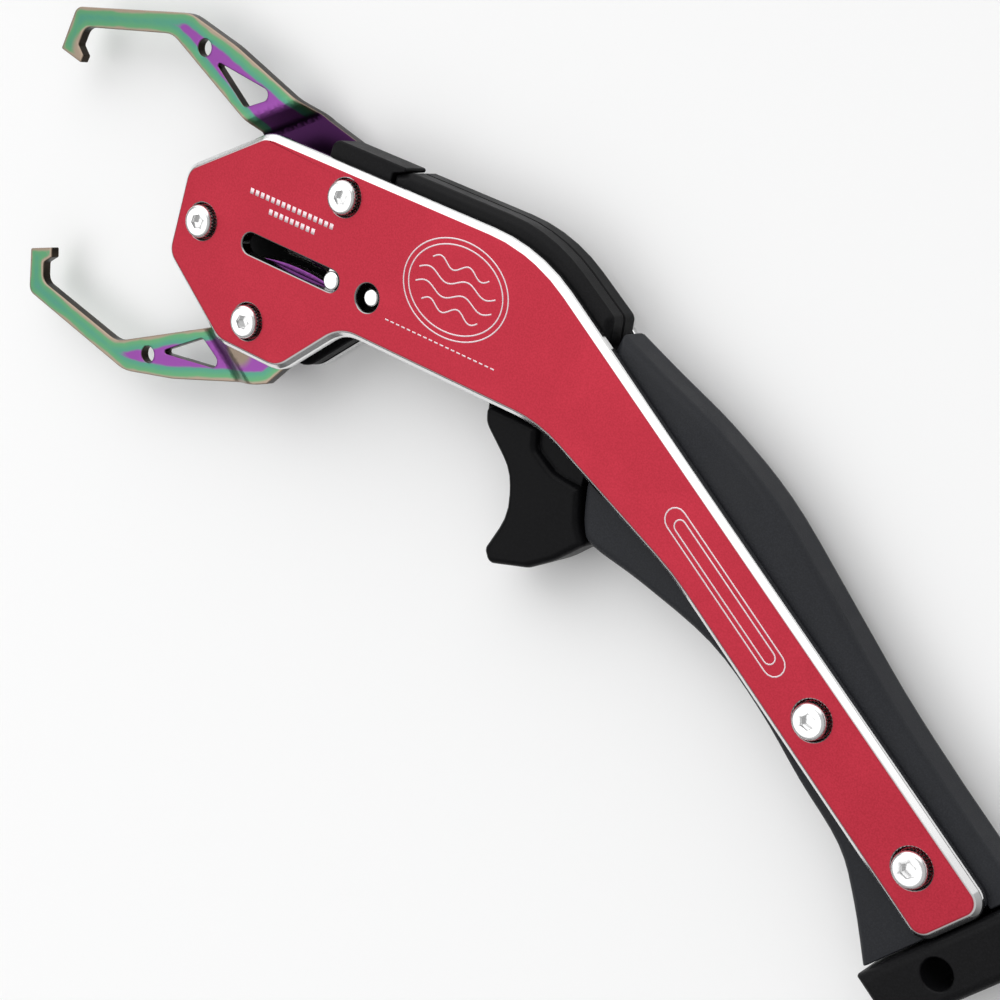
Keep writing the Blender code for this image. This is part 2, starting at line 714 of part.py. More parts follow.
def body_lower_y(x):
    """The half core's lower edge between the trigger corner and the straight handle."""
    start = (TRIGGER_CORNER_X, -NECK_BOTTOM + 0.4)
    end = handle_point(HANDLE_TAPER_S, -HANDLE_W + BODY_INSET)
    return start[1] + (x - start[0]) * (end[1] - start[1]) / (end[0] - start[0])


def make_butt_cap(finish):
    toe = -HANDLE_W - 15.0
    heel = 4.5
    corners = [
        handle_point(butt_along(toe, SEAT_GAP), toe),
        handle_point(butt_along(toe, CAP_LENGTH), toe, 7.0),
        handle_point(butt_along(heel, CAP_LENGTH), heel, 7.0),
        handle_point(butt_along(heel, SEAT_GAP), heel),
    ]
    cap = pillow("butt_cap", lambda depth: rounded(inset_corners(corners, depth), 10), 0.6,
                 FRONT_FACE - 0.6, 2.0, assembly, finish)
    place = handle_point(butt_along(-HANDLE_W, CAP_LENGTH / 2), -HANDLE_W)
    drill(cap, "lanyard_cut", place, LANYARD_R, REAR_FACE - 1, FRONT_FACE + 1, assembly)
    return cap


# ---------------------------------------------------------------- moving pieces

def arm_point(point, tip):
    """An arm-frame point, placed on a jaw that is drawn with its tip on the head axis."""
    moved = turn((point[0], point[1]), tip["turn"])
    return (moved[0] + tip["x"], moved[1]) + tuple(point[2:])


def arm_corners(tip):
    """The hook and the arm, from the under side's rear end round the tip to the top's rear end."""
    hook_in = -TIP_HALF - 0.4 + HOOK_W
    rise = TIP_HALF * math.tan(math.radians(tip["slope"]))
    return [
        (*ARM_UNDER_END, 0.0),
        (*ARM_BEND, 6.0),
        (hook_in - 0.1, HOOK_H - 2.7, 2.6),
        (hook_in, 3.5, 0.8),
        (TIP_HALF, 2.1, 0.3),
        (TIP_HALF, TIP_GAP / 2 + rise, 0.3),
        (-TIP_HALF, TIP_GAP / 2 - rise, 0.4),
        (-TIP_HALF - 0.4, HOOK_H, 2.4),
        (*CROWN, 9.0),
        (*SHOULDER, 12.0),
        (*ARM_TOP_END, 0.0),
    ]


def cam_path(pivot, open_deg, swing_deg, steps=12):
    """The drive pin's way across a jaw in its drawn position, from open to closed."""
    path = []
    for step in range(steps + 1):
        share = step / steps
        pin = (DRIVE_PIN_X - TRAVEL * share, 0.0)
        path.append(turn(pin, open_deg - swing_deg * share, pivot))
    return path


def band(path, half):
    """The outline of a band of even width along a path, with round ends."""
    left = []
    right = []
    for index, point in enumerate(path):
        before = path[max(index - 1, 0)]
        after = path[min(index + 1, len(path) - 1)]
        length = math.hypot(after[0] - before[0], after[1] - before[1])
        normal = (-(after[1] - before[1]) / length, (after[0] - before[0]) / length)
        left.append((point[0] + normal[0] * half, point[1] + normal[1] * half))
        right.append((point[0] - normal[0] * half, point[1] - normal[1] * half))
    outline = []
    for side, centre in ((right, path[-1]), (left[::-1], path[0])):
        outline += side
        first = math.atan2(side[-1][1] - centre[1], side[-1][0] - centre[0])
        for step in range(1, 10):
            angle = first + math.pi * step / 10
            outline.append((centre[0] + half * math.cos(angle), centre[1] + half * math.sin(angle)))
    return outline


def make_jaw(name, side, pivot, open_deg, swing_deg, tip, base_corners, base_z, empty, finish):
    """A jaw drawn on the upper side with its tip on the axis, mirrored for the lower one, then opened."""
    high_pivot = (pivot[0], abs(pivot[1]))
    path = cam_path(high_pivot, open_deg, swing_deg)

    def place(point):
        x, y = turn(point[:2], -open_deg, high_pivot)
        return (x, y * side)

    corners = [arm_point(corner, tip) for corner in arm_corners(tip)]
    outline = rounded(corners + base_corners(high_pivot, path), 12)
    arm_z = MID_Z - JAW_T / 2
    outline = anticlockwise([place(point) for point in outline])
    jaw = stacked(name, [(outline, arm_z), (outline, arm_z + JAW_T)], empty, finish)
    base = joint_place(empty)
    start = [place(arm_point(point, tip)) for point in RAMP_START]
    rear = place(arm_point((RAMP_START[0][0] + 10, RAMP_START[0][1]), tip))
    joggle(jaw, start, rear, base, base_z - arm_z)
    holes = {
        "pivot": circle(pivot, BUSH_R + RUN_GAP),
        "cam": [place(point) for point in band(path, SLOT_HALF)],
        "hole": [place(arm_point(point, tip)) for point in circle(JAW_HOLE, JAW_HOLE_R, 24)],
        "window": [place(arm_point(point, tip)) for point in rounded(list(WINDOW), 20)],
    }
    for hole, shape in holes.items():
        cut(jaw, prism(f"{name}_{hole}_cut", shape, REAR_FACE, FRONT_FACE, empty))
    return jaw


def joggle(jaw, line, rear, base, shift):
    """Steps the jaw's base across to its own layer, over a ramp that starts at the line."""
    (x0, y0), (x1, y1) = [(x - base[0], y - base[1]) for x, y in line]
    length = math.hypot(x1 - x0, y1 - y0)
    normal = ((y1 - y0) / length, -(x1 - x0) / length)
    if (rear[0] - base[0] - x0) * normal[0] + (rear[1] - base[1] - y0) * normal[1] < 0:
        normal = (-normal[0], -normal[1])
    shape = bmesh.new()
    shape.from_mesh(jaw.data)
    for step in range(RAMP_STEPS + 1):
        distance = RAMP_LENGTH * step / RAMP_STEPS
        point = ((x0 + normal[0] * distance) * MM, (y0 + normal[1] * distance) * MM, 0.0)
        whole = shape.verts[:] + shape.edges[:] + shape.faces[:]
        bmesh.ops.bisect_plane(shape, geom=whole, dist=1e-7, plane_co=point,
                               plane_no=(normal[0], normal[1], 0.0))
    for vert in shape.verts:
        reach = (vert.co.x / MM - x0) * normal[0] + (vert.co.y / MM - y0) * normal[1]
        share = max(0.0, min(1.0, reach / RAMP_LENGTH))
        vert.co.z += shift * MM * share * share * (3 - 2 * share)
    bmesh.ops.triangulate(shape, faces=[face for face in shape.faces if len(face.verts) > 4])
    shape.to_mesh(jaw.data)
    shape.free()


def upper_base(pivot, path):
    """The upper jaw's base when closed: the pivot boss at the rear top, the cam below it."""
    front = path[-1]
    rear = path[0]
    boss = [(pivot[0] + BOSS_R * math.cos(math.radians(a)), pivot[1] + BOSS_R * math.sin(math.radians(a)))
            for a in (90, 60, 30, 0)]
    return boss + [
        (rear[0] + CAM_END_R, rear[1], 3.4),
        (rear[0] + CAM_END_R - 1.0, rear[1] - CAM_END_R, 3.4),
        (front[0] - CAM_END_R, front[1] - CAM_END_R, 3.8),
        (front[0] - CAM_END_R, front[1] + CAM_END_R, 5.0),
    ]


def lower_base(pivot, path):
    """The lower jaw's base when closed: a deep corner behind the pivot, the cam behind and below."""
    front = path[-1]
    rear = path[0]
    return [
        (pivot[0] + 2.0, pivot[1] + 13.6, 0.6),
        (rear[0] + CAM_END_R * 0.6, rear[1] + CAM_END_R * 1.6, 3.0),
        (rear[0] + CAM_END_R, rear[1] - CAM_END_R * 0.5, 3.0),
        (front[0] + CAM_END_R * 2.2, front[1] - CAM_END_R, 3.0),
        (front[0] - CAM_END_R, front[1] - CAM_END_R, 3.8),
        (front[0] - CAM_END_R, front[1] + CAM_END_R, 5.0),
    ]


def make_drive_pin(finish):
    low = REAR_FACE + 0.3
    high = FRONT_FACE - 0.1
    edge = 0.3
    turned("drive_pin", [(0.0, low), (DRIVE_PIN_R - edge, low), (DRIVE_PIN_R, low + edge),
                         (DRIVE_PIN_R, high - edge), (DRIVE_PIN_R - edge, high), (0.0, high)],
           (DRIVE_PIN_X, 0.0), slider, finish)


def make_pull_bar(finish):
    """The flat bar: drive pin hole, window for the guide pin and the spring, lug for the trigger."""
    lug_bottom = -BAR_HALF - LUG_DEPTH
    bar_outline = rounded([(DRIVE_PIN_X - BAR_NOSE, -BAR_HALF, 3.0), (BAR_REAR, -BAR_HALF, 0.6),
                           (BAR_REAR, BAR_HALF, 1.5), (DRIVE_PIN_X - BAR_NOSE, BAR_HALF, 3.0)])
    bar = prism("pull_bar", bar_outline, BAR_Z, BAR_Z + BAR_T, slider, finish)
    lug = [(LUG_FRONT, lug_bottom), (LUG_REAR, lug_bottom), (LUG_REAR, -BAR_HALF + 1.0),
           (LUG_FRONT, -BAR_HALF + 1.0)]
    cut(bar, prism("bar_lug", lug, MID_Z - LUG_T / 2, MID_Z + LUG_T / 2, slider), "UNION")
    front = GUIDE_PIN_X - GUIDE_NECK_R - 2 * SPRING_WIRE_R - 2 * SEAT_GAP
    rear = CROSS_PIN_X + CROSS_PIN_R + 2 * SPRING_WIRE_R + 2 * SEAT_GAP
    window = rounded([(front, -BAR_WINDOW_HALF, 2.0), (rear, -BAR_WINDOW_HALF, 2.0),
                      (rear, BAR_WINDOW_HALF, 2.0), (front, BAR_WINDOW_HALF, 2.0)])
    cut(bar, prism("bar_window_cut", window, BAR_Z - 1, BAR_Z + BAR_T + 1, slider))
    drill(bar, "bar_pin_cut", (DRIVE_PIN_X, 0.0), SLOT_HALF, BAR_Z - 1, BAR_Z + BAR_T + 1, slider)
    for index, x in enumerate(TRIGGER_PIN_XS):
        drill(bar, f"bar_lug_cut_{index}", (x, TRIGGER_PIN_Y), TRIGGER_PIN_R + SEAT_GAP,
              BAR_Z - 1, BAR_Z + BAR_T + 1, slider, 20)
    cut(bar, rod_y("bar_cross_cut", CROSS_PIN_R + SEAT_GAP, BAR_HALF + 1))
    return bar


def rod_y(name, radius, half, finish=None):
    """A round rod along Y at the spring's rear hook."""
    steps = 20
    points = []
    for y in (-half, half):
        points += [(x, y, z) for x, z in circle((CROSS_PIN_X, MID_Z), radius, steps)]
    faces = [list(range(steps)), list(range(steps, 2 * steps))[::-1]]
    for index in range(steps):
        after = (index + 1) % steps
        faces.append([index, steps + index, steps + after, after])
    return build_mesh(name, points, faces, slider, finish, 35)


def make_trigger(finish):
    """A web that rides in the neck's slot, and a wide finger piece below it."""
    web_top = -BAR_HALF - RUN_GAP
    web = [(WEB_FRONT, web_top), (WEB_REAR, web_top), (WEB_REAR, -19.0), (WEB_REAR + 1.0, -24.0),
           (92.0, -26.0), (84.0, -17.0), (WEB_FRONT, -13.0)]
    corners = [
        (79.5, -10.6, 1.5), (80.5, -14.6, 4.0), (89.0, -21.5, 10.0), (91.6, -30.0, 12.0), (88.6, -39.0, 1.5),
        (90.4, -41.6, 1.8), (99.6, -38.6, 4.0), (104.9, -34.6, 12.0), (110.6, -28.6, 1.0), (107.9, -25.4, 8.0),
        (105.8, -18.3, 0.8), (98.8, -17.7, 6.0), (93.6, -14.8, 2.0), (92.6, -10.6, 1.0),
    ]
    low = MID_Z - TRIGGER_T / 2
    trigger = pillow("trigger", lambda depth: rounded(inset_corners(corners, depth)), low,
                     low + TRIGGER_T, TRIGGER_EDGE, slider, finish)
    cut(trigger, prism("trigger_web", web, MID_Z - WEB_T / 2, MID_Z + WEB_T / 2, slider), "UNION")
    groove = [(LUG_FRONT - SEAT_GAP, web_top + 1), (LUG_FRONT - SEAT_GAP, -BAR_HALF - LUG_DEPTH - SEAT_GAP),
              (LUG_REAR + SEAT_GAP, -BAR_HALF - LUG_DEPTH - SEAT_GAP), (LUG_REAR + SEAT_GAP, web_top + 1)]
    half = LUG_T / 2 + SEAT_GAP
    cut(trigger, prism("trigger_groove_cut", groove, MID_Z - half, MID_Z + half, slider))
    for index, x in enumerate(TRIGGER_PIN_XS):
        drill(trigger, f"trigger_pin_cut_{index}", (x, TRIGGER_PIN_Y), TRIGGER_PIN_R + SEAT_GAP,
              0, FRONT_FACE, slider, 20)
    return trigger


def make_trigger_pins(finish):
    half = WEB_T / 2 - 0.2
    for name, x in zip(("trigger_pin_front", "trigger_pin_rear"), TRIGGER_PIN_XS):
        turned(name, [(0.0, MID_Z - half), (TRIGGER_PIN_R, MID_Z - half), (TRIGGER_PIN_R, MID_Z + half),
                      (0.0, MID_Z + half)], (x, TRIGGER_PIN_Y), slider, finish, 20)


def spring_route():
    """A hook round the guide pin, a coil along the bar, and a hook round the cross pin."""
    front_hook = GUIDE_NECK_R + SPRING_WIRE_R + SEAT_GAP
    rear_hook = CROSS_PIN_R + SPRING_WIRE_R + SEAT_GAP
    route = []
    for step in range(13):
        angle = math.radians(60 + 22.5 * step)
        route.append((GUIDE_PIN_X + front_hook * math.cos(angle), front_hook * math.sin(angle), MID_Z))
    start = GUIDE_PIN_X + front_hook + 1.4
    end = CROSS_PIN_X - rear_hook - 1.4
    per_turn = 10
    total = SPRING_TURNS * per_turn
    for step in range(total + 1):
        angle = 2 * math.pi * step / per_turn - math.pi / 2
        grow = min(1.0, step / 5, (total - step) / 5)
        radius = max(0.35, SPRING_COIL_R * grow)
        route.append((start + (end - start) * step / total, radius * math.cos(angle),
                      MID_Z + radius * math.sin(angle)))
    for step in range(13):
        angle = math.radians(205 - 22.5 * step)
        route.append((CROSS_PIN_X + rear_hook * math.cos(angle), 0.0, MID_Z + rear_hook * math.sin(angle)))
    return route


def make_spring(finish):
    curve = bpy.data.curves.new("return_spring", "CURVE")
    curve.dimensions = "3D"
    curve.bevel_depth = SPRING_WIRE_R * MM
    curve.bevel_resolution = 1
    curve.use_fill_caps = True
    line = curve.splines.new("POLY")
    route = spring_route()
    line.points.add(len(route) - 1)
    for point, place in zip(line.points, route):
        point.co = (*[value * MM for value in place], 1.0)
    curve.materials.append(finish)
    made = bpy.data.objects.new("return_spring", curve)
    made.parent = assembly
    bpy.context.scene.collection.objects.link(made)
    return made


# ---------------------------------------------------------------- the whole tool

clear_scene()
assembly = add_empty("assembly", (-ORIGIN_BACK, 0.0, 0.0))
slider = add_empty("slider_axis", (DRIVE_PIN_X, 0.0, MID_Z), assembly)
upper_axis = add_empty("upper_jaw_axis", (*UPPER_PIVOT, MID_Z), assembly)
lower_axis = add_empty("lower_jaw_axis", (*LOWER_PIVOT, MID_Z), assembly)

red_anodised = material("red_anodised", (0.55, 0.045, 0.08), 0.35, 0.9)
black_moulding = material("black_moulding", (0.015, 0.015, 0.017), 0.4, 0.0)
grey_elastomer = material("grey_elastomer", (0.04, 0.046, 0.054), 0.6, 0.0)
titanium_colours = material("titanium_colours", (0.12, 0.33, 0.2), 0.25, 1.0)
bright_steel = material("bright_steel", (0.75, 0.75, 0.74), 0.2, 1.0)
spring_steel = material("spring_steel", (0.5, 0.5, 0.52), 0.3, 1.0)

make_plate("front_plate", FRONT_FACE, CORE_HIGH, red_anodised)
make_plate("rear_plate", REAR_FACE, CORE_LOW, red_anodised)
make_body(black_moulding)
make_stop_block(black_moulding)
make_cheek_block(black_moulding)
make_spacers(bright_steel)
make_dowel(bright_steel)
make_screws(bright_steel)
make_guide_pin(bright_steel)
make_palm_grip(grey_elastomer)
make_finger_grip(grey_elastomer)
make_butt_cap(black_moulding)
make_jaw("upper_jaw", 1, UPPER_PIVOT, UPPER_OPEN_DEG, UPPER_SWING_DEG, UPPER_TIP, upper_base,
         UPPER_JAW_Z, upper_axis, titanium_colours)
make_jaw("lower_jaw", -1, LOWER_PIVOT, LOWER_OPEN_DEG, LOWER_SWING_DEG, LOWER_TIP, lower_base,
         LOWER_JAW_Z, lower_axis, titanium_colours)
make_drive_pin(bright_steel)
make_pull_bar(bright_steel)
rod_y("spring_cross_pin", CROSS_PIN_R, BAR_HALF - 0.3, bright_steel)
make_trigger(black_moulding)
make_trigger_pins(bright_steel)
make_spring(spring_steel)
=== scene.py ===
"""The looks of a pistol-grip fish gripper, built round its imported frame.

Every length is in metres, in the frame's own axes: X runs back to the handle, Y across the head
towards the upper jaw, and Z out of the front plate. The tool lies on its rear plate.
"""
import math

import bmesh
import bpy
import numpy as np
from bpy.props import FloatProperty, FloatVectorProperty, IntProperty, PointerProperty
from mathutils import Matrix, Vector


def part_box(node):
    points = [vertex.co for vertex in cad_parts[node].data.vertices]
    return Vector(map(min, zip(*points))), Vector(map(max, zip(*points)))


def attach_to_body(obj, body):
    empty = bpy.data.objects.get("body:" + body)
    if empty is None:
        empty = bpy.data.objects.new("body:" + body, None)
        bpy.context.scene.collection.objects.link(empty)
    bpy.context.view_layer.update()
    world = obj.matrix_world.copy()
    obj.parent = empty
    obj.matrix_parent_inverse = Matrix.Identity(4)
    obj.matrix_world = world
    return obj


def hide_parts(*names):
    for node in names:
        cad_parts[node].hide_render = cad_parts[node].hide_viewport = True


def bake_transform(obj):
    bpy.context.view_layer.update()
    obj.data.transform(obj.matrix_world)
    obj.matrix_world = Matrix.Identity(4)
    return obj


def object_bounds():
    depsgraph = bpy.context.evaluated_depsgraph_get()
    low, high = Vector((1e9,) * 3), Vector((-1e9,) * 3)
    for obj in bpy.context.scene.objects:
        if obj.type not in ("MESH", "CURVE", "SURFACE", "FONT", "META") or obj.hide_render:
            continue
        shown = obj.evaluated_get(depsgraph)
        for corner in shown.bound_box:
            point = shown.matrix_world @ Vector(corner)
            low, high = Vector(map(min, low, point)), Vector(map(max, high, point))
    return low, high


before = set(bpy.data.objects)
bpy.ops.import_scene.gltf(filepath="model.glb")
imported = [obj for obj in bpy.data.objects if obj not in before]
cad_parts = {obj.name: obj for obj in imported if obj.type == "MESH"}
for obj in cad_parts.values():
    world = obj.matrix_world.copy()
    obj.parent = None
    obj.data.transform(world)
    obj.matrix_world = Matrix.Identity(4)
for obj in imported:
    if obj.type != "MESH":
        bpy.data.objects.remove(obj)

bl_info = {
    "name": "Fish Gripper Looks",
    "version": (1, 0, 0),
    "blender": (4, 5, 0),
    "location": "View3D > Sidebar > Gripper",
    "description": "Builds the visible pieces and finishes of a trigger-worked fish gripper",
    "category": "Object",
}

CAD_BOX = [list(corner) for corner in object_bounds()]
FRONT_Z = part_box("front_plate")[1].z
REAR_INNER_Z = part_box("rear_plate")[1].z
FRONT_INNER_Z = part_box("front_plate")[0].z
EDGE_DISTANCE = "from_edge"

# Jaws: plate thickness, the grid their colours follow, and where the tan tips and the painted tan
# reflection at the lower jaw's bend lie
JAW_T = 0.0025
JAW_CELL = 0.0008
JAW_TIP_REACH = 0.0034
UPPER_TIP_FROM_BOX = (0.0068, -0.0165)
LOWER_TIP_FROM_BOX = (0.0035, 0.0310)
LOWER_BEND_REFLECTION_FROM_PIVOT = (-0.0030, -0.0078)
LOWER_BEND_REFLECTION_REACH = 0.0036

# Socket screws
SCREWS = ("nose_screw", "upper_pivot_screw", "lower_pivot_screw", "handle_screw", "butt_screw")
SCREW_HEAD_T = 0.0028
SCREW_SHANK_R = 0.002
SOCKET_DEPTH = 0.0013

# Return spring: end hooks, coil, and the straight leads between them
FRONT_HOOK_R = 0.0021
REAR_HOOK_R = 0.0016
HOOK_LEAD = 0.0014
HOOK_STEP_DEG = 15
HOOK_POINTS = 19
COIL_R = 0.0017
COIL_ENTRY_R = 0.00035
COIL_TURNS = 13
POINTS_PER_TURN = 20

# Engraved marks. Places are along X and across it, from the piece that the name says
EMBLEM_FROM_GUIDE = (0.0203, 0.0093)
INNER_RING_SHARE = (0.9, 0.88)
WAVES = ((0.0045, 0.0145), (0.0015, 0.0196), (-0.0015, 0.0196), (-0.0045, 0.0145))
WAVE_RISE = 0.0009
DASH_SHARE = 0.62
UPPER_ROW_FROM_NOSE = (0.0110, 0.0108)
LOWER_ROW_FROM_NOSE = (0.0172, 0.0082)
UPPER_ROW = (0.0240, 16)
LOWER_ROW = (0.0135, 9)
RULE_FROM_EMBLEM = (-0.0145, -0.0117)
RULE = (0.0290, 20)
STROKE_WIDTHS = 4
BAR_AHEAD_OF_SCREW = 0.0290
BAR_OUTLINES = ((0.0330, 0.0048), (0.0300, 0.0026))

# Stage
FLOOR_HALF = 3.0
FLOOR_GAP = 0.0002
KEY_PLACE = Vector((-0.55, -0.30, 1.10))
KEY_TARGET = Vector((-0.03, 0.0, 0.01))
KEY_SIDE = 1.0
GLOW_TOWARD = Vector((-0.35, 0.85, 0.35)).normalized()
HORIZON_SHARE = 0.22
CAMERA_PLACE = Vector((0.2336, 0.1072, 0.3719))
CAMERA_AIM = Vector((-0.47758, -0.30963, -0.82222))
CAMERA_UP = Vector((-0.39619, 0.91119, -0.11301))
SENSOR = 36.0


def middle(node):
    """The middle of a frame node's box."""
    low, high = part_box(node)
    return (low + high) / 2


# ---------------------------------------------------------------- settings

class GripperSizes(bpy.types.PropertyGroup):
    plate_round: FloatProperty(
        name="Plate edge round", description="Round along the plates' machined edges",
        default=0.00035, min=0.0, unit="LENGTH", precision=5)
    jaw_round: FloatProperty(
        name="Jaw edge round", description="Round along the jaws' edges",
        default=0.00026, min=0.0, unit="LENGTH", precision=5)
    moulded_round: FloatProperty(
        name="Moulding edge round", description="Round along moulded edges",
        default=0.0003, min=0.0, unit="LENGTH", precision=5)
    pin_round: FloatProperty(
        name="Pin edge round", description="Round at the ends of pins",
        default=0.00012, min=0.0, unit="LENGTH", precision=5)
    screw_flutes: IntProperty(
        name="Screw flutes", description="Flutes round a screw's head",
        default=30, min=8, max=60)
    flute_depth: FloatProperty(
        name="Flute depth", description="Depth of the flutes round a screw's head",
        default=0.00014, min=0.0, unit="LENGTH", precision=5)
    wire_radius: FloatProperty(
        name="Spring wire radius", description="Radius of the return spring's wire",
        default=0.0003, min=0.0001, unit="LENGTH", precision=5)
    mark_width: FloatProperty(
        name="Engraved line width", description="Width of the lines on the front plate",
        default=0.0003, min=0.00005, unit="LENGTH", precision=5)
    mark_height: FloatProperty(
        name="Engraved line height", description="Burr of the lines on the front plate",
        default=0.00004, min=0.00001, unit="LENGTH", precision=5)
    ring_length: FloatProperty(
        name="Emblem length", description="Length of the plain wave emblem's outer ring",
        default=0.0262, min=0.002, unit="LENGTH", precision=4)
    ring_height: FloatProperty(
        name="Emblem height", description="Height of the plain wave emblem's outer ring",
        default=0.0200, min=0.002, unit="LENGTH", precision=4)


class GripperFinishes(bpy.types.PropertyGroup):
    anodised: FloatVectorProperty(
        name="Anodised red", description="Colour of the plates' faces",
        subtype="COLOR", size=3, default=(0.44, 0.018, 0.038))
    bright: FloatVectorProperty(
        name="Bright metal", description="Colour of machined and polished metal",
        subtype="COLOR", size=3, default=(0.80, 0.80, 0.80))
    jaw_green: FloatVectorProperty(
        name="Jaw green", description="Main colour of the coated jaws",
        subtype="COLOR", size=3, default=(0.110, 0.300, 0.150))
    jaw_purple: FloatVectorProperty(
        name="Jaw purple", description="Second colour of the coated jaws",
        subtype="COLOR", size=3, default=(0.240, 0.065, 0.290))
    # The tan also paints light: the highlight along the jaws' edges and the reflection at the lower
    # jaw's bend, and, darkened, the shade on the walls.
    jaw_tan_and_highlight: FloatVectorProperty(
        name="Jaw tan", description="Colour of the coated jaws' edges and bends",
        subtype="COLOR", size=3, default=(0.330, 0.260, 0.200))
    moulding: FloatVectorProperty(
        name="Black moulding", description="Colour of the black moulded parts",
        subtype="COLOR", size=3, default=(0.004, 0.004, 0.0045))
    elastomer: FloatVectorProperty(
        name="Slate elastomer", description="Colour of the grips",
        subtype="COLOR", size=3, default=(0.015, 0.016, 0.019))


class GripperStage(bpy.types.PropertyGroup):
    lens: FloatProperty(
        name="Lens", description="Camera lens on a 36 mm sensor",
        default=77.69, min=10.0)
    key_power: FloatProperty(
        name="Key light", description="Power of the large light over the tool",
        default=3.5, min=0.0, unit="POWER")
    glow: FloatProperty(
        name="Glow", description="Strength of the broad glow behind the head",
        default=1.5, min=0.0)
    room: FloatProperty(
        name="Room light", description="Strength of the even light from above",
        default=0.62, min=0.0)


def sizes():
    return bpy.context.scene.gripper_sizes


def finishes():
    return bpy.context.scene.gripper_finishes


# ---------------------------------------------------------------- shader helpers

def new_group(name, inputs, outputs):
    """A shader node group with named sockets, and its input and output nodes."""
    tree = bpy.data.node_groups.new(name, "ShaderNodeTree")
    for label, kind, value in inputs:
        socket = tree.interface.new_socket(name=label, in_out="INPUT", socket_type=kind)
        socket.default_value = value
    for label, kind in outputs:
        tree.interface.new_socket(name=label, in_out="OUTPUT", socket_type=kind)
    return tree, tree.nodes.new("NodeGroupInput"), tree.nodes.new("NodeGroupOutput")


def math_node(tree, operation, first, second=None):
    node = tree.nodes.new("ShaderNodeMath")
    node.operation = operation
    for socket, value in zip(node.inputs, (first, second)):
        if value is None:
            continue
        if isinstance(value, (int, float)):
            socket.default_value = value
        else:
            tree.links.new(value, socket)
    return node.outputs[0]


def ramp_between(tree, value, low, high):
    """0 below low, 1 above high, with a soft passage between; low may be above high."""
    node = tree.nodes.new("ShaderNodeMapRange")
    node.interpolation_type = "SMOOTHSTEP"
    tree.links.new(value, node.inputs["Value"])
    node.inputs["From Min"].default_value = min(low, high)
    node.inputs["From Max"].default_value = max(low, high)
    node.inputs["To Min"].default_value = 0.0 if low < high else 1.0
    node.inputs["To Max"].default_value = 1.0 if low < high else 0.0
    return node.outputs["Result"]


def noise(tree, vector, scale, detail=3.0, roughness=0.5, distortion=0.0):
    node = tree.nodes.new("ShaderNodeTexNoise")
    tree.links.new(vector, node.inputs["Vector"])
    node.inputs["Scale"].default_value = scale
    node.inputs["Detail"].default_value = detail
    node.inputs["Roughness"].default_value = roughness
    node.inputs["Distortion"].default_value = distortion
    return node.outputs["Fac"]


def mix_colour(tree, share, first, second):
    """The first colour where share is 0 and the second where it is 1; each may be a socket."""
    node = tree.nodes.new("ShaderNodeMix")
    node.data_type = "RGBA"
    sockets = {socket.identifier: socket for socket in node.inputs}
    for key, value in (("Factor_Float", share), ("A_Color", first), ("B_Color", second)):
        if isinstance(value, bpy.types.NodeSocket):
            tree.links.new(value, sockets[key])
        else:
            sockets[key].default_value = (*value, 1.0)
    return next(socket for socket in node.outputs if socket.identifier == "Result_Color")


def shade(colour, share):
    """A colour made darker or lighter by a share."""
    return tuple(value * share for value in colour)


def facing_group():
    """Masks from the surface's direction, with its height and its distance from the outline."""
    labels = ("Flat", "Slanted", "Wall", "Height", "From edge")
    tree, _, out = new_group("plate_sides", [], [(label, "NodeSocketFloat") for label in labels])
    geometry = tree.nodes.new("ShaderNodeNewGeometry")
    split = tree.nodes.new("ShaderNodeSeparateXYZ")
    tree.links.new(geometry.outputs["Normal"], split.inputs[0])
    upright = math_node(tree, "ABSOLUTE", split.outputs["Z"])
    tree.links.new(ramp_between(tree, upright, 0.90, 0.97), out.inputs["Flat"])
    tree.links.new(ramp_between(tree, upright, 0.55, 0.75), out.inputs["Slanted"])
    tree.links.new(ramp_between(tree, upright, 0.35, 0.10), out.inputs["Wall"])
    place = tree.nodes.new("ShaderNodeTexCoord")
    where = tree.nodes.new("ShaderNodeSeparateXYZ")
    tree.links.new(place.outputs["Object"], where.inputs[0])
    tree.links.new(where.outputs["Z"], out.inputs["Height"])
    distance = tree.nodes.new("ShaderNodeAttribute")
    distance.attribute_name = EDGE_DISTANCE
    tree.links.new(distance.outputs["Fac"], out.inputs["From edge"])
    return tree


def grain_group():
    """A fine even grain, with a slow drift of tone under it."""
    tree, source, out = new_group(
        "fine_grain",
        [("Grain per metre", "NodeSocketFloat", 3000.0),
         ("Drift per metre", "NodeSocketFloat", 60.0)],
        [("Grain", "NodeSocketFloat"), ("Drift", "NodeSocketFloat")])
    place = tree.nodes.new("ShaderNodeTexCoord").outputs["Object"]
    for label, target, detail in (("Grain per metre", "Grain", 4.0),
                                  ("Drift per metre", "Drift", 2.0)):
        node = tree.nodes.new("ShaderNodeTexNoise")
        node.inputs["Detail"].default_value = detail
        node.inputs["Roughness"].default_value = 0.6
        tree.links.new(place, node.inputs["Vector"])
        tree.links.new(source.outputs[label], node.inputs["Scale"])
        tree.links.new(node.outputs["Fac"], out.inputs[target])
    return tree


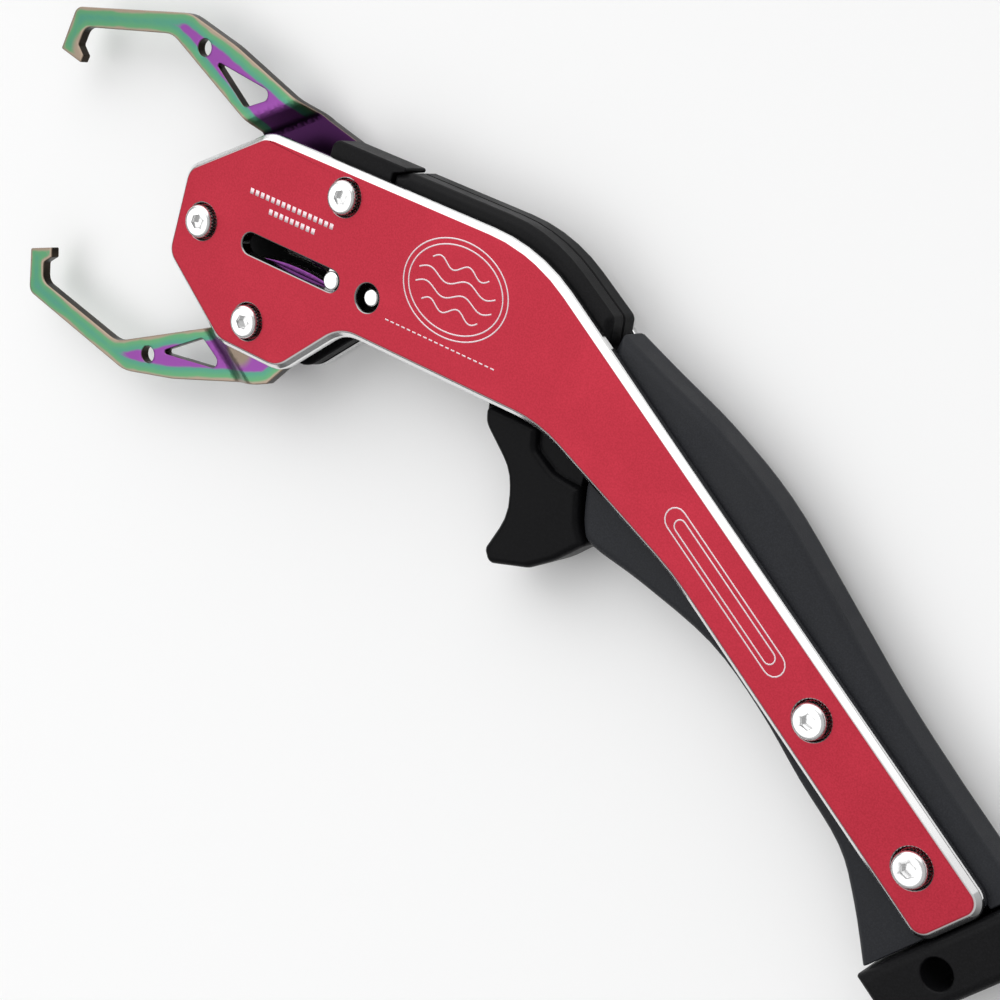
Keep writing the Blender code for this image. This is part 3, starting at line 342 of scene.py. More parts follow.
def handling_group():
    """Where hands have rubbed a surface: a soft blotchy mask, and fine hairlines."""
    tree, source, out = new_group(
        "handling_marks", [("Amount", "NodeSocketFloat", 0.5)],
        [("Rub", "NodeSocketFloat"), ("Hairline", "NodeSocketFloat")])
    place = tree.nodes.new("ShaderNodeTexCoord").outputs["Object"]
    blotch = ramp_between(tree, noise(tree, place, 45.0, 5.0, 0.62, 0.4), 0.46, 0.66)
    tree.links.new(math_node(tree, "MULTIPLY", blotch, source.outputs["Amount"]), out.inputs["Rub"])
    turned = tree.nodes.new("ShaderNodeMapping")
    turned.inputs["Rotation"].default_value = (0.0, 0.0, 0.5)
    turned.inputs["Scale"].default_value = (60.0, 5200.0, 900.0)
    tree.links.new(place, turned.inputs["Vector"])
    line = ramp_between(tree, noise(tree, turned.outputs[0], 1.0, 2.0, 0.5), 0.70, 0.78)
    hairline = math_node(tree, "MULTIPLY", line, source.outputs["Amount"])
    tree.links.new(hairline, out.inputs["Hairline"])
    return tree


def shared_group(name, build):
    return bpy.data.node_groups.get(name) or build()


class Finish:
    """A Principled material under construction, with the shared groups at hand."""

    def __init__(self, name, colour, roughness, metallic):
        self.material = bpy.data.materials.new(name)
        self.material.use_nodes = True
        self.tree = self.material.node_tree
        self.shader = self.tree.nodes["Principled BSDF"]
        self.set("Base Color", (*colour[:3], 1.0))
        self.set("Roughness", roughness)
        self.set("Metallic", metallic)
        self.material.diffuse_color = (*colour[:3], 1.0)
        self.place = self.tree.nodes.new("ShaderNodeTexCoord").outputs["Object"]

    def set(self, socket, value):
        self.shader.inputs[socket].default_value = value

    def feed(self, socket, output):
        self.tree.links.new(output, self.shader.inputs[socket])

    def group(self, name, build, **values):
        node = self.tree.nodes.new("ShaderNodeGroup")
        node.node_tree = shared_group(name, build)
        for label, value in values.items():
            node.inputs[label.replace("_", " ")].default_value = value
        return node.outputs

    def bump(self, height, distance, strength=1.0):
        node = self.tree.nodes.new("ShaderNodeBump")
        node.inputs["Strength"].default_value = strength
        node.inputs["Distance"].default_value = distance
        self.tree.links.new(height, node.inputs["Height"])
        self.feed("Normal", node.outputs["Normal"])

    def spread(self, value, low, high):
        """The value, from about 0 to 1, spread between two results."""
        node = self.tree.nodes.new("ShaderNodeMapRange")
        self.tree.links.new(value, node.inputs["Value"])
        node.inputs["To Min"].default_value = low
        node.inputs["To Max"].default_value = high
        return node.outputs["Result"]


# ---------------------------------------------------------------- finishes

def anodised_plate():
    """Red anodised faces with a fine grain, and bright machined edges; painted shade makes the
    inner faces between the plates near black and the walls of holes dark.
    """
    look = finishes()
    finish = Finish("anodised_plate", look.anodised, 0.42, 0.7)
    tree = finish.tree
    grain = finish.group("fine_grain", grain_group, Grain_per_metre=2600.0, Drift_per_metre=35.0)
    rub = finish.group("handling_marks", handling_group, Amount=0.5)
    sides = finish.group("plate_sides", facing_group)
    dark = shade(look.anodised, 0.86)
    light = (look.anodised[0] * 1.10, look.anodised[1] * 1.35, look.anodised[2] * 1.30)
    face = mix_colour(tree, ramp_between(tree, grain["Grain"], 0.3, 0.7), dark, light)
    face = mix_colour(tree, finish.spread(grain["Drift"], 0.0, 0.25), face, look.anodised[:])
    # Painted shade: the inner faces, between the plates, are painted near black where the plates
    # shade each other.
    painted_shade_over_rear_inner = ramp_between(tree, sides["Height"], REAR_INNER_Z - 0.0006, REAR_INNER_Z - 0.0002)
    painted_shade_under_front_inner = ramp_between(tree, sides["Height"], FRONT_INNER_Z + 0.0006, FRONT_INNER_Z + 0.0002)
    inner = math_node(tree, "MULTIPLY", painted_shade_over_rear_inner, painted_shade_under_front_inner)
    face = mix_colour(tree, inner, face, (0.01, 0.01, 0.011))
    bare = mix_colour(tree, finish.spread(rub["Rub"], 0.0, 0.35), look.bright[:],
                      shade(look.bright, 0.8))
    # Painted shade: walls of holes and counterbores, more than about 2 mm from the outline, are
    # painted dark.
    painted_hole_shade = ramp_between(tree, sides["From edge"], 0.0020, 0.0026)
    bare = mix_colour(tree, painted_hole_shade, bare, shade(look.bright, 0.35))
    finish.feed("Base Color", mix_colour(tree, sides["Flat"], bare, face))
    edge = math_node(tree, "SUBTRACT", 1.0, sides["Flat"])
    finish.feed("Metallic", finish.spread(edge, 0.7, 1.0))
    rough = math_node(tree, "SUBTRACT", finish.spread(grain["Grain"], 0.36, 0.52),
                      math_node(tree, "MULTIPLY", rub["Rub"], 0.10))
    rough = math_node(tree, "SUBTRACT", rough, math_node(tree, "MULTIPLY", edge, 0.28))
    finish.feed("Roughness", rough)
    height = math_node(tree, "MULTIPLY", grain["Grain"], sides["Flat"])
    finish.bump(height, 0.00004, 0.6)
    return finish.material


def bright_metal(name, roughness, brushed):
    """Turned or ground bright steel, with a fine grain."""
    look = finishes()
    finish = Finish(name, look.bright, roughness, 1.0)
    grain = finish.group("fine_grain", grain_group, Grain_per_metre=5200.0, Drift_per_metre=140.0)
    rub = finish.group("handling_marks", handling_group, Amount=0.8)
    tree = finish.tree
    tint = mix_colour(tree, finish.spread(grain["Drift"], 0.0, 0.5), look.bright[:],
                      shade(look.bright, 0.82))
    finish.feed("Base Color", tint)
    rough = finish.spread(grain["Grain"], roughness - 0.05, roughness + 0.07)
    rough = math_node(tree, "ADD", rough, math_node(tree, "MULTIPLY", rub["Rub"], 0.08))
    finish.feed("Roughness", rough)
    finish.bump(grain["Grain"], 0.00002, brushed)
    return finish.material


def jaw_colours_with_painted_light(name, tip, ramp_reflection, shade_dark_below, shade_clear_above):
    """Interference colours: tan along the edges as a painted highlight, then green, and purple
    where the face is broad.

    The tip argument is (centre, reach) of a tan patch at the tip, and the next is (centre, reach)
    of a painted tan reflection at the lower jaw's bend. Below the lower of the last two heights the
    face is painted near black as shade, and it clears up to the higher.
    """
    look = finishes()
    finish = Finish(name, look.jaw_green, 0.3, 1.0)
    tree = finish.tree
    sides = finish.group("plate_sides", facing_group)
    grain = finish.group("fine_grain", grain_group, Grain_per_metre=4200.0, Drift_per_metre=130.0)
    rub = finish.group("handling_marks", handling_group, Amount=0.6)

    def near(centre, reach):
        """1 round a place, falling to 0 with distance."""
        gap = tree.nodes.new("ShaderNodeVectorMath")
        gap.operation = "DISTANCE"
        tree.links.new(finish.place, gap.inputs[0])
        gap.inputs[1].default_value = centre
        return ramp_between(tree, gap.outputs["Value"], reach * 1.3, reach * 0.7)

    wander = math_node(tree, "MULTIPLY", math_node(tree, "SUBTRACT", grain["Drift"], 0.5), 0.0016)
    depth = math_node(tree, "ADD", sides["From edge"], wander)
    cool = tuple(value * share for value, share in zip(look.jaw_green, (0.75, 0.9, 1.25)))
    face = mix_colour(tree, ramp_between(tree, depth, 0.0009, 0.0024), look.jaw_green[:], cool)
    # Painted highlight: tan within about a millimetre of the outline widens the glint of the
    # rounded edges.
    face = mix_colour(tree, ramp_between(tree, depth, 0.0010, 0.0003), face, look.jaw_tan_and_highlight[:])
    face = mix_colour(tree, near(*tip), face, look.jaw_tan_and_highlight[:])
    face = mix_colour(tree, ramp_between(tree, depth, 0.0024, 0.0031), face, look.jaw_purple[:])
    # Painted reflection: a darker tan patch where the lower jaw bends.
    if ramp_reflection:
        face = mix_colour(tree, near(*ramp_reflection), face, shade(look.jaw_tan_and_highlight, 0.7))
    # Painted shade: below the first height the face is painted near black, clearing up to the
    # second.
    painted_base_shade = ramp_between(tree, sides["Height"], shade_clear_above, shade_dark_below)
    face = mix_colour(tree, painted_base_shade, face, shade(look.jaw_purple, 0.16))
    # Painted shade: the walls are painted near black, for the dark room they reflect; the rounds
    # between wall and face get a painted tan highlight.
    wall = mix_colour(tree, ramp_between(tree, grain["Drift"], 0.4, 0.6),
                      shade(look.jaw_tan_and_highlight, 0.10), shade(look.jaw_tan_and_highlight, 0.04))
    edge = mix_colour(tree, sides["Wall"], shade(look.jaw_tan_and_highlight, 0.8), wall)
    finish.feed("Base Color", mix_colour(tree, sides["Slanted"], edge, face))
    rough = math_node(tree, "ADD", finish.spread(grain["Grain"], 0.26, 0.40),
                      math_node(tree, "MULTIPLY", rub["Hairline"], 0.15))
    finish.feed("Roughness", rough)
    finish.bump(grain["Grain"], 0.00002, 0.5)
    return finish.material


def moulded(name, colour, roughness, grain_scale, depth, lighten, specular):
    """Moulded plastic or elastomer: a spark-eroded grain, with handled places a little smoother."""
    finish = Finish(name, colour, roughness, 0.0)
    tree = finish.tree
    grain = finish.group("fine_grain", grain_group, Grain_per_metre=grain_scale,
                         Drift_per_metre=50.0)
    rub = finish.group("handling_marks", handling_group, Amount=0.7)
    tint = mix_colour(tree, ramp_between(tree, grain["Grain"], 0.35, 0.75), colour,
                      shade(colour, lighten))
    tint = mix_colour(tree, finish.spread(rub["Rub"], 0.0, 0.5), tint, shade(colour, 0.8))
    finish.feed("Base Color", tint)
    rough = finish.spread(grain["Drift"], roughness - 0.05, roughness + 0.07)
    rough = math_node(tree, "SUBTRACT", rough, math_node(tree, "MULTIPLY", rub["Rub"], 0.14))
    finish.feed("Roughness", rough)
    finish.set("Specular IOR Level", specular)
    finish.bump(grain["Grain"], depth, 0.7)
    return finish.material


def engraved_line():
    """Pale lines, a little pink where the red shows through."""
    finish = Finish("engraved_line", (0.86, 0.72, 0.75), 0.5, 0.3)
    grain = finish.group("fine_grain", grain_group, Grain_per_metre=6000.0, Drift_per_metre=200.0)
    tint = mix_colour(finish.tree, ramp_between(finish.tree, grain["Grain"], 0.3, 0.7),
                      (0.74, 0.56, 0.60), (0.90, 0.80, 0.82))
    finish.feed("Base Color", tint)
    finish.feed("Roughness", finish.spread(grain["Drift"], 0.42, 0.6))
    return finish.material


def finish_named(name):
    """The finish, made when it is first asked for. No name is one of the record's slots."""
    if name in bpy.data.materials:
        return bpy.data.materials[name]
    look = finishes()
    makers = {
        "anodised_plate": (anodised_plate,),
        "polished_steel": (bright_metal, name, 0.16, 0.25),
        "ground_steel": (bright_metal, name, 0.30, 0.7),
        "spring_wire": (bright_metal, name, 0.26, 0.4),
        "core_plastic": (moulded, name, look.moulding[:], 0.46, 2600.0, 0.00005, 1.9, 0.10),
        "trigger_plastic": (moulded, name, look.moulding[:], 0.36, 1800.0, 0.00002, 1.6, 0.06),
        "slate_elastomer": (moulded, name, look.elastomer[:], 0.58, 3400.0, 0.00006, 1.5, 0.19),
        "engraved_line": (engraved_line,),
    }
    make, *values = makers[name]
    return make(*values)


# ---------------------------------------------------------------- shape helpers

def link_mesh(name, mesh, finish, smooth_deg=None):
    piece = bpy.data.objects.new(name, mesh)
    bpy.context.scene.collection.objects.link(piece)
    if finish:
        mesh.materials.clear()
        mesh.materials.append(finish)
    if smooth_deg:
        mesh.shade_smooth()
        mesh.set_sharp_from_angle(angle=math.radians(smooth_deg))
    return piece


def settle(piece, name):
    """The piece as its modifiers leave it: a plain mesh in a new object."""
    bpy.context.view_layer.update()
    graph = bpy.context.evaluated_depsgraph_get()
    mesh = bpy.data.meshes.new_from_object(piece.evaluated_get(graph),
                                           preserve_all_data_layers=True, depsgraph=graph)
    bpy.data.objects.remove(piece, do_unlink=True)
    mesh.name = name
    made = bpy.data.objects.new(name, mesh)
    bpy.context.scene.collection.objects.link(made)
    return made


def attach(piece, body, slot, *nodes):
    """Hands a finished piece over to its body, in place of frame nodes."""
    if nodes:
        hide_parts(*nodes)
    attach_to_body(piece, body)


def clean_copy(node):
    """A frame node's mesh with its doubles merged and its flat faces whole."""
    shape = bmesh.new()
    shape.from_mesh(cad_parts[node].data)
    bmesh.ops.remove_doubles(shape, verts=shape.verts, dist=2e-6)
    bmesh.ops.dissolve_limit(shape, angle_limit=math.radians(0.6), verts=shape.verts,
                             edges=shape.edges, delimit=set())
    mesh = bpy.data.meshes.new(node + "_copy")
    shape.to_mesh(mesh)
    shape.free()
    return mesh


def round_edges(piece, width, segments, edge_deg):
    """Adds a round along every edge sharper than edge_deg."""
    bevel = piece.modifiers.new("edge_round", "BEVEL")
    bevel.width = width
    bevel.segments = segments
    bevel.limit_method = "ANGLE"
    bevel.angle_limit = math.radians(edge_deg)
    bevel.use_clamp_overlap = False


def even_shading(piece):
    """Lets the large faces keep their own direction, so the rounds alone turn."""
    weigh = piece.modifiers.new("flat_faces_first", "WEIGHTED_NORMAL")
    weigh.keep_sharp = True


def eased(node, name, width, finish, segments=2, edge_deg=28.0):
    """A copy of a frame node with its edges rounded off."""
    piece = link_mesh(name, clean_copy(node), finish_named(finish), edge_deg)
    round_edges(piece, width, segments, edge_deg)
    even_shading(piece)
    return settle(piece, name)


def outer_outline(mesh):
    """The longest loop where a broad face meets a wall, as pairs of points in X and Y."""
    shape = bmesh.new()
    shape.from_mesh(mesh)
    rims = set()
    for edge in shape.edges:
        if len(edge.link_faces) == 2:
            leans = sorted(abs(face.normal.z) for face in edge.link_faces)
            if leans[0] < 0.3 and leans[1] > 0.6:
                rims.add(edge)
    loops = []
    while rims:
        loop = [rims.pop()]
        for edge in loop:
            for end in edge.verts:
                for other in end.link_edges:
                    if other in rims:
                        rims.remove(other)
                        loop.append(other)
        loops.append(loop)
    longest = max(loops, key=lambda found: sum(edge.calc_length() for edge in found))
    outline = np.array([[end.co.xy[:] for end in edge.verts] for edge in longest])
    shape.free()
    return outline


def measure_from(mesh, outline):
    """Stores each point's distance from the outline, in metres, as an attribute."""
    places = np.empty(len(mesh.vertices) * 3)
    mesh.vertices.foreach_get("co", places)
    places = places.reshape(-1, 3)[:, None, :2]
    start, along = outline[None, :, 0], (outline[:, 1] - outline[:, 0])[None]
    share = ((places - start) * along).sum(2) / np.maximum((along * along).sum(2), 1e-14)
    nearest = start + np.clip(share, 0.0, 1.0)[..., None] * along
    gaps = np.sqrt(((places - nearest) ** 2).sum(2)).min(1)
    store = mesh.attributes.new(EDGE_DISTANCE, "FLOAT", "POINT")
    store.data.foreach_set("value", gaps.astype(np.float32))


def cut_into_cells(mesh, step):
    """Cuts a mesh along an even grid in X and Y, so that a pattern can vary across its faces."""
    shape = bmesh.new()
    shape.from_mesh(mesh)
    for axis in (0, 1):
        ends = [point.co[axis] for point in shape.verts]
        for index in range(math.ceil(min(ends) / step), math.floor(max(ends) / step) + 1):
            place, way = Vector(), Vector()
            place[axis] = index * step
            way[axis] = 1.0
            whole = shape.verts[:] + shape.edges[:] + shape.faces[:]
            bmesh.ops.bisect_plane(shape, geom=whole, dist=1e-6, plane_co=place, plane_no=way)
    shape.to_mesh(mesh)
    shape.free()


def repaint(node, finish):
    """Gives a frame node that keeps its own shape a full finish."""
    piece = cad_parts[node]
    if not piece.material_slots:
        piece.data.materials.append(finish_named(finish))
    for place in piece.material_slots:
        place.material = finish_named(finish)


# ---------------------------------------------------------------- geometry node helpers

def geometry_tree(name, inputs):
    """A geometry node tree whose first input is the geometry, with named sizes after it."""
    tree = bpy.data.node_groups.new(name, "GeometryNodeTree")
    tree.interface.new_socket(name="Geometry", in_out="INPUT", socket_type="NodeSocketGeometry")
    for label, kind, value in inputs:
        socket = tree.interface.new_socket(name=label, in_out="INPUT", socket_type=kind)
        if value is not None:
            socket.default_value = value
    tree.interface.new_socket(name="Geometry", in_out="OUTPUT", socket_type="NodeSocketGeometry")
    return tree, tree.nodes.new("NodeGroupInput"), tree.nodes.new("NodeGroupOutput")


def close_tree(tree, source, out, geometry):
    """Ends a tree in Realize Instances and Set Material."""
    real = tree.nodes.new("GeometryNodeRealizeInstances")
    tree.links.new(geometry, real.inputs["Geometry"])
    paint = tree.nodes.new("GeometryNodeSetMaterial")
    tree.links.new(real.outputs["Geometry"], paint.inputs["Geometry"])
    tree.links.new(source.outputs["Finish"], paint.inputs["Material"])
    tree.links.new(paint.outputs["Geometry"], out.inputs["Geometry"])


def run_tree(piece, tree, values):
    """Adds the tree to a piece, with its named inputs set by their identifiers."""
    change = piece.modifiers.new(tree.name, "NODES")
    change.node_group = tree
    for item in tree.interface.items_tree:
        if item.item_type == "SOCKET" and item.in_out == "INPUT" and item.name in values:
            change[item.identifier] = values[item.name]


def sweep_tree():
    """A round bar swept along the piece's own curve."""
    tree, source, out = geometry_tree("wire_sweep", [("Radius", "NodeSocketFloat", 0.0003),
                                                     ("Sides", "NodeSocketInt", 12),
                                                     ("Finish", "NodeSocketMaterial", None)])
    profile = tree.nodes.new("GeometryNodeCurvePrimitiveCircle")
    tree.links.new(source.outputs["Sides"], profile.inputs["Resolution"])
    tree.links.new(source.outputs["Radius"], profile.inputs["Radius"])
    sweep = tree.nodes.new("GeometryNodeCurveToMesh")
    sweep.inputs["Fill Caps"].default_value = True
    tree.links.new(source.outputs["Geometry"], sweep.inputs["Curve"])
    tree.links.new(profile.outputs["Curve"], sweep.inputs["Profile Curve"])
    close_tree(tree, source, out, sweep.outputs["Mesh"])
    return tree


def line_tree():
    """A low flat line along each of the piece's curves, as a laser leaves it."""
    tree, source, out = geometry_tree("engraved_lines", [("Width", "NodeSocketFloat", 0.0003),
                                                         ("Height", "NodeSocketFloat", 0.00004),
                                                         ("Finish", "NodeSocketMaterial", None)])
    profile = tree.nodes.new("GeometryNodeCurvePrimitiveQuadrilateral")
    profile.mode = "RECTANGLE"
    tree.links.new(source.outputs["Width"], profile.inputs["Width"])
    tree.links.new(source.outputs["Height"], profile.inputs["Height"])
    upright = tree.nodes.new("GeometryNodeSetCurveNormal")
    upright.mode = "Z_UP"
    tree.links.new(source.outputs["Geometry"], upright.inputs["Curve"])
    sweep = tree.nodes.new("GeometryNodeCurveToMesh")
    sweep.inputs["Fill Caps"].default_value = True
    tree.links.new(upright.outputs["Curve"], sweep.inputs["Curve"])
    tree.links.new(profile.outputs["Curve"], sweep.inputs["Profile Curve"])
    close_tree(tree, source, out, sweep.outputs["Mesh"])
    return tree


def scatter_tree():
    """One copy of a piece at each of the carrier's points."""
    tree, source, out = geometry_tree("screws_at_points", [("Screw", "NodeSocketObject", None),
                                                           ("Finish", "NodeSocketMaterial", None)])
    shape = tree.nodes.new("GeometryNodeObjectInfo")
    tree.links.new(source.outputs["Screw"], shape.inputs["Object"])
    turns = tree.nodes.new("FunctionNodeRandomValue")
    turns.data_type = "FLOAT_VECTOR"
    turns.inputs["Min"].default_value = (0.0, 0.0, 0.0)
    turns.inputs["Max"].default_value = (0.0, 0.0, 2.0)
    turns.inputs["Seed"].default_value = 7
    spread = tree.nodes.new("GeometryNodeInstanceOnPoints")
    tree.links.new(source.outputs["Geometry"], spread.inputs["Points"])
    tree.links.new(shape.outputs["Geometry"], spread.inputs["Instance"])
    tree.links.new(turns.outputs["Value"], spread.inputs["Rotation"])
    close_tree(tree, source, out, spread.outputs["Instances"])
    return tree


def curve_piece(name, runs):
    """A curve object of poly lines; each run is (points, closed)."""
    curve = bpy.data.curves.new(name, "CURVE")
    curve.dimensions = "3D"
    for points, closed in runs:
        line = curve.splines.new("POLY")
        line.points.add(len(points) - 1)
        for point, place in zip(line.points, points):
            point.co = (*place, 1.0)
        line.use_cyclic_u = closed
    piece = bpy.data.objects.new(name, curve)
    bpy.context.scene.collection.objects.link(piece)
    return piece


# ---------------------------------------------------------------- pieces

class GRIPPER_OT_side_plates(bpy.types.Operator):
    """Machined side plates with red faces and bright rounded edges"""
    bl_idname = "gripper.side_plates"
    bl_label = "Side Plates"

    def execute(self, context):
        for node in ("front_plate", "rear_plate"):
            outline = outer_outline(clean_copy(node))
            plate = eased(node, node + "_machined", sizes().plate_round, "anodised_plate", 3)
            measure_from(plate.data, outline)
            attach(plate, "frame_body", "red_anodised", node)
        return {"FINISHED"}


class GRIPPER_OT_jaws(bpy.types.Operator):
    """Hooked jaws, coated in green, purple and tan, with a painted highlight, reflection and shade
    """
    bl_idname = "gripper.jaws"
    bl_label = "Jaws"

    def execute(self, context):
        for side, body in (("upper", "upper_jaw_body"), ("lower", "lower_jaw_body")):
            low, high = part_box(side + "_jaw")
            pivot = middle(side + "_pivot_bush")
            name = side + "_jaw_forged"
            flat = clean_copy(side + "_jaw")
            outline = outer_outline(flat)
            if side == "upper":
                right, up = UPPER_TIP_FROM_BOX
                tip = (low.x + right, high.y + up, high.z)
                ramp_reflection = None
                # Painted shade: the upper jaw's base, below its arm, is painted near black where
                # light doesn't reach it.
                base = (low.z + JAW_T + 0.0004, high.z - JAW_T)
            else:
                right, up = LOWER_TIP_FROM_BOX
                tip = (low.x + right, low.y + up, high.z)
                # Painted reflection: a tan patch at the lower jaw's bend, placed from the pivot.
                right, up = LOWER_BEND_REFLECTION_FROM_PIVOT
                ramp_reflection = ((pivot.x + right, pivot.y + up, high.z), LOWER_BEND_REFLECTION_REACH)
                # The lower jaw's base gets no painted shade.
                base = (-1.0, -0.9)  # far below the jaw, so none of it darkens
            finish = jaw_colours_with_painted_light(side + "_jaw_coating", (tip, JAW_TIP_REACH), ramp_reflection, *base)
            jaw = link_mesh(name, flat, finish)
            round_edges(jaw, sizes().jaw_round, 3, 40.0)
            jaw = settle(jaw, name)
            cut_into_cells(jaw.data, JAW_CELL)
            measure_from(jaw.data, outline)
            jaw.data.shade_smooth()
            jaw.data.set_sharp_from_angle(angle=math.radians(38.0))
            even_shading(jaw)
            attach(settle(jaw, name), body, "titanium_colours", side + "_jaw")
        return {"FINISHED"}


class GRIPPER_OT_core(bpy.types.Operator):
    """The black moulded core between the plates, and its two blocks"""
    bl_idname = "gripper.core"
    bl_label = "Moulded Core"

    def execute(self, context):
        for node in ("front_body_half", "rear_body_half", "upper_stop_block", "lower_cheek_block",
                     "butt_cap"):
            part = eased(node, node + "_moulded", sizes().moulded_round, "core_plastic")
            attach(part, "frame_body", "black_moulding", node)
        return {"FINISHED"}


class GRIPPER_OT_grips(bpy.types.Operator):
    """The slate elastomer grips at the back and the front of the handle"""
    bl_idname = "gripper.grips"
    bl_label = "Grips"

    def execute(self, context):
        for node in ("palm_grip", "finger_grip"):
            grip = eased(node, node + "_soft", sizes().moulded_round, "slate_elastomer", 2, 50.0)
            attach(grip, "frame_body", "grey_elastomer", node)
        return {"FINISHED"}


class GRIPPER_OT_trigger(bpy.types.Operator):
    """The glossy black trigger"""
    bl_idname = "gripper.trigger"
    bl_label = "Trigger"

    def execute(self, context):
        trigger = eased("trigger", "trigger_moulded", sizes().moulded_round, "trigger_plastic",
                        2, 50.0)
        attach(trigger, "slider", "trigger_moulding", "trigger")
        return {"FINISHED"}


def screw_mesh(top, seat, tip, head_radius, shank_radius):
    """A low-head socket screw along Z: fluted head, hex socket, rounded rim and plain shank."""
    count = sizes().screw_flutes * 4
    shape = bmesh.new()

    def ring(z, radius):
        found = []
        for step in range(count):
            angle = 2 * math.pi * step / count
            reach = radius(angle, step) if callable(radius) else radius
            found.append(shape.verts.new((reach * math.cos(angle), reach * math.sin(angle), z)))
        return found

    def hexagon(apothem):
        return lambda angle, step: apothem / math.cos((angle % (math.pi / 3)) - math.pi / 6)

    def fluted(radius, depth):
        return lambda angle, step: radius - (depth if step % 4 >= 2 else 0.0)

    across = head_radius * 0.36
    depth = sizes().flute_depth
    crown = head_radius * 0.24
    flat = head_radius - crown
    rings = [
        ring(top - SOCKET_DEPTH, hexagon(across)),
        ring(top - 0.00020, hexagon(across)),
        ring(top - 0.00004, hexagon(across * 1.06)),
        ring(top, across * 1.30),
        ring(top, flat * 0.98),
    ]
    for step in range(6):
        angle = math.radians(6 + 15 * step)
        rings.append(ring(top - crown * (1 - math.cos(angle)), flat + crown * math.sin(angle)))
    rings += [
        ring(top - crown - 0.00012, fluted(head_radius, depth)),
        ring(seat + 0.0002, fluted(head_radius, depth)),
        ring(seat, head_radius * 0.94),
        ring(seat, shank_radius),
        ring(tip + 0.0004, shank_radius),
        ring(tip, shank_radius * 0.8),
    ]
    for inner, outer in zip(rings, rings[1:]):
        for step in range(count):
            after = (step + 1) % count
            shape.faces.new((inner[step], outer[step], outer[after], inner[after]))
    shape.faces.new(rings[0])
    shape.faces.new(rings[-1][::-1])
    bmesh.ops.recalc_face_normals(shape, faces=shape.faces)
    mesh = bpy.data.meshes.new("socket_screw")
    shape.to_mesh(mesh)
    shape.free()
    return mesh


class GRIPPER_OT_screws(bpy.types.Operator):
    """Fluted socket screws in their counterbores"""
    bl_idname = "gripper.screws"
    bl_label = "Screws"

    def execute(self, context):
        low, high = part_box(SCREWS[0])
        head_radius = (high.x - low.x) / 2
        mesh = screw_mesh(0.0, -SCREW_HEAD_T, low.z - high.z, head_radius, SCREW_SHANK_R)
        pattern = link_mesh("screw_pattern", mesh, None, 30.0)
        points = bpy.data.meshes.new("screw_places")
        places = []
        for node in SCREWS:
            centre = middle(node)
            places.append((centre.x, centre.y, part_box(node)[1].z))
        points.from_pydata(places, [], [])
        carrier = link_mesh("socket_screws", points, None)
        run_tree(carrier, scatter_tree(), {"Screw": pattern,
                                           "Finish": finish_named("polished_steel")})
        screws = settle(carrier, "socket_screws_steel")
        bpy.data.objects.remove(pattern, do_unlink=True)
        attach(screws, "frame_body", "bright_steel", *SCREWS)
        return {"FINISHED"}


class GRIPPER_OT_pins(bpy.types.Operator):
    """The drive pin, the guide pin and the spacer at the nose; the hidden steel parts"""
    bl_idname = "gripper.pins"
    bl_label = "Pins and Spacers"

    def execute(self, context):
        for node, body, finish in (("drive_pin", "slider", "polished_steel"),
                                   ("guide_pin", "frame_body", "polished_steel"),
                                   ("nose_spacer", "frame_body", "ground_steel"),
                                   ("pull_bar", "slider", "ground_steel")):
            pin = eased(node, node + "_turned", sizes().pin_round, finish)
            attach(pin, body, "bright_steel", node)
        for node in ("upper_pivot_bush", "lower_pivot_bush", "neck_dowel", "handle_sleeve",
                     "butt_sleeve", "trigger_pin_front", "trigger_pin_rear", "spring_cross_pin"):
            repaint(node, "ground_steel")
        return {"FINISHED"}


def spring_points(front, rear, level):
    """The wire's centre line: a hook round the guide pin, the coil, a hook round the cross pin."""
    points = []
    for step in range(HOOK_POINTS):
        angle = math.radians(60 + HOOK_STEP_DEG * step)
        points.append((front + FRONT_HOOK_R * math.cos(angle), FRONT_HOOK_R * math.sin(angle),
                       level))
    start = front + FRONT_HOOK_R + HOOK_LEAD
    end = rear - REAR_HOOK_R - HOOK_LEAD
    total = COIL_TURNS * POINTS_PER_TURN
    for step in range(total + 1):
        angle = 2 * math.pi * step / POINTS_PER_TURN - math.pi / 2
        grow = min(1.0, step / 10, (total - step) / 10)
        radius = max(COIL_ENTRY_R, COIL_R * grow)
        points.append((start + (end - start) * step / total, radius * math.cos(angle),
                       level + radius * math.sin(angle)))
    for step in range(HOOK_POINTS):
        angle = math.radians(205 - HOOK_STEP_DEG * step)
        points.append((rear + REAR_HOOK_R * math.cos(angle), 0.0,
                       level + REAR_HOOK_R * math.sin(angle)))
    return points


class GRIPPER_OT_spring(bpy.types.Operator):
    """The return spring, as one fixed coil between its hooks; on the tool it shortens as the
    trigger goes forward
    """
    bl_idname = "gripper.spring"
    bl_label = "Return Spring"

    def execute(self, context):
        front = middle("guide_pin").x
        cross = middle("spring_cross_pin")
        wire = curve_piece("spring_line", [(spring_points(front, cross.x, cross.z), False)])
        run_tree(wire, sweep_tree(), {"Radius": sizes().wire_radius, "Sides": 10,
                                      "Finish": finish_named("spring_wire")})
        spring = settle(wire, "return_spring_wound")
        spring.data.shade_smooth()
        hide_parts("return_spring")
        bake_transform(spring)
        return {"FINISHED"}


def wave(centre, length, height, level, steps=36):
    """One S-shaped wave line across the emblem."""
    points = []
    for step in range(steps + 1):
        share = step / steps - 0.5
        points.append((centre[0] + share * length,
                       centre[1] + height * math.sin(share * 4 * math.pi), level))
    return points


def ring_points(centre, length, height, level, steps=96):
    """An oval, longest along X."""
    return [(centre[0] + length / 2 * math.cos(2 * math.pi * step / steps),
             centre[1] + height / 2 * math.sin(2 * math.pi * step / steps), level)
            for step in range(steps)]


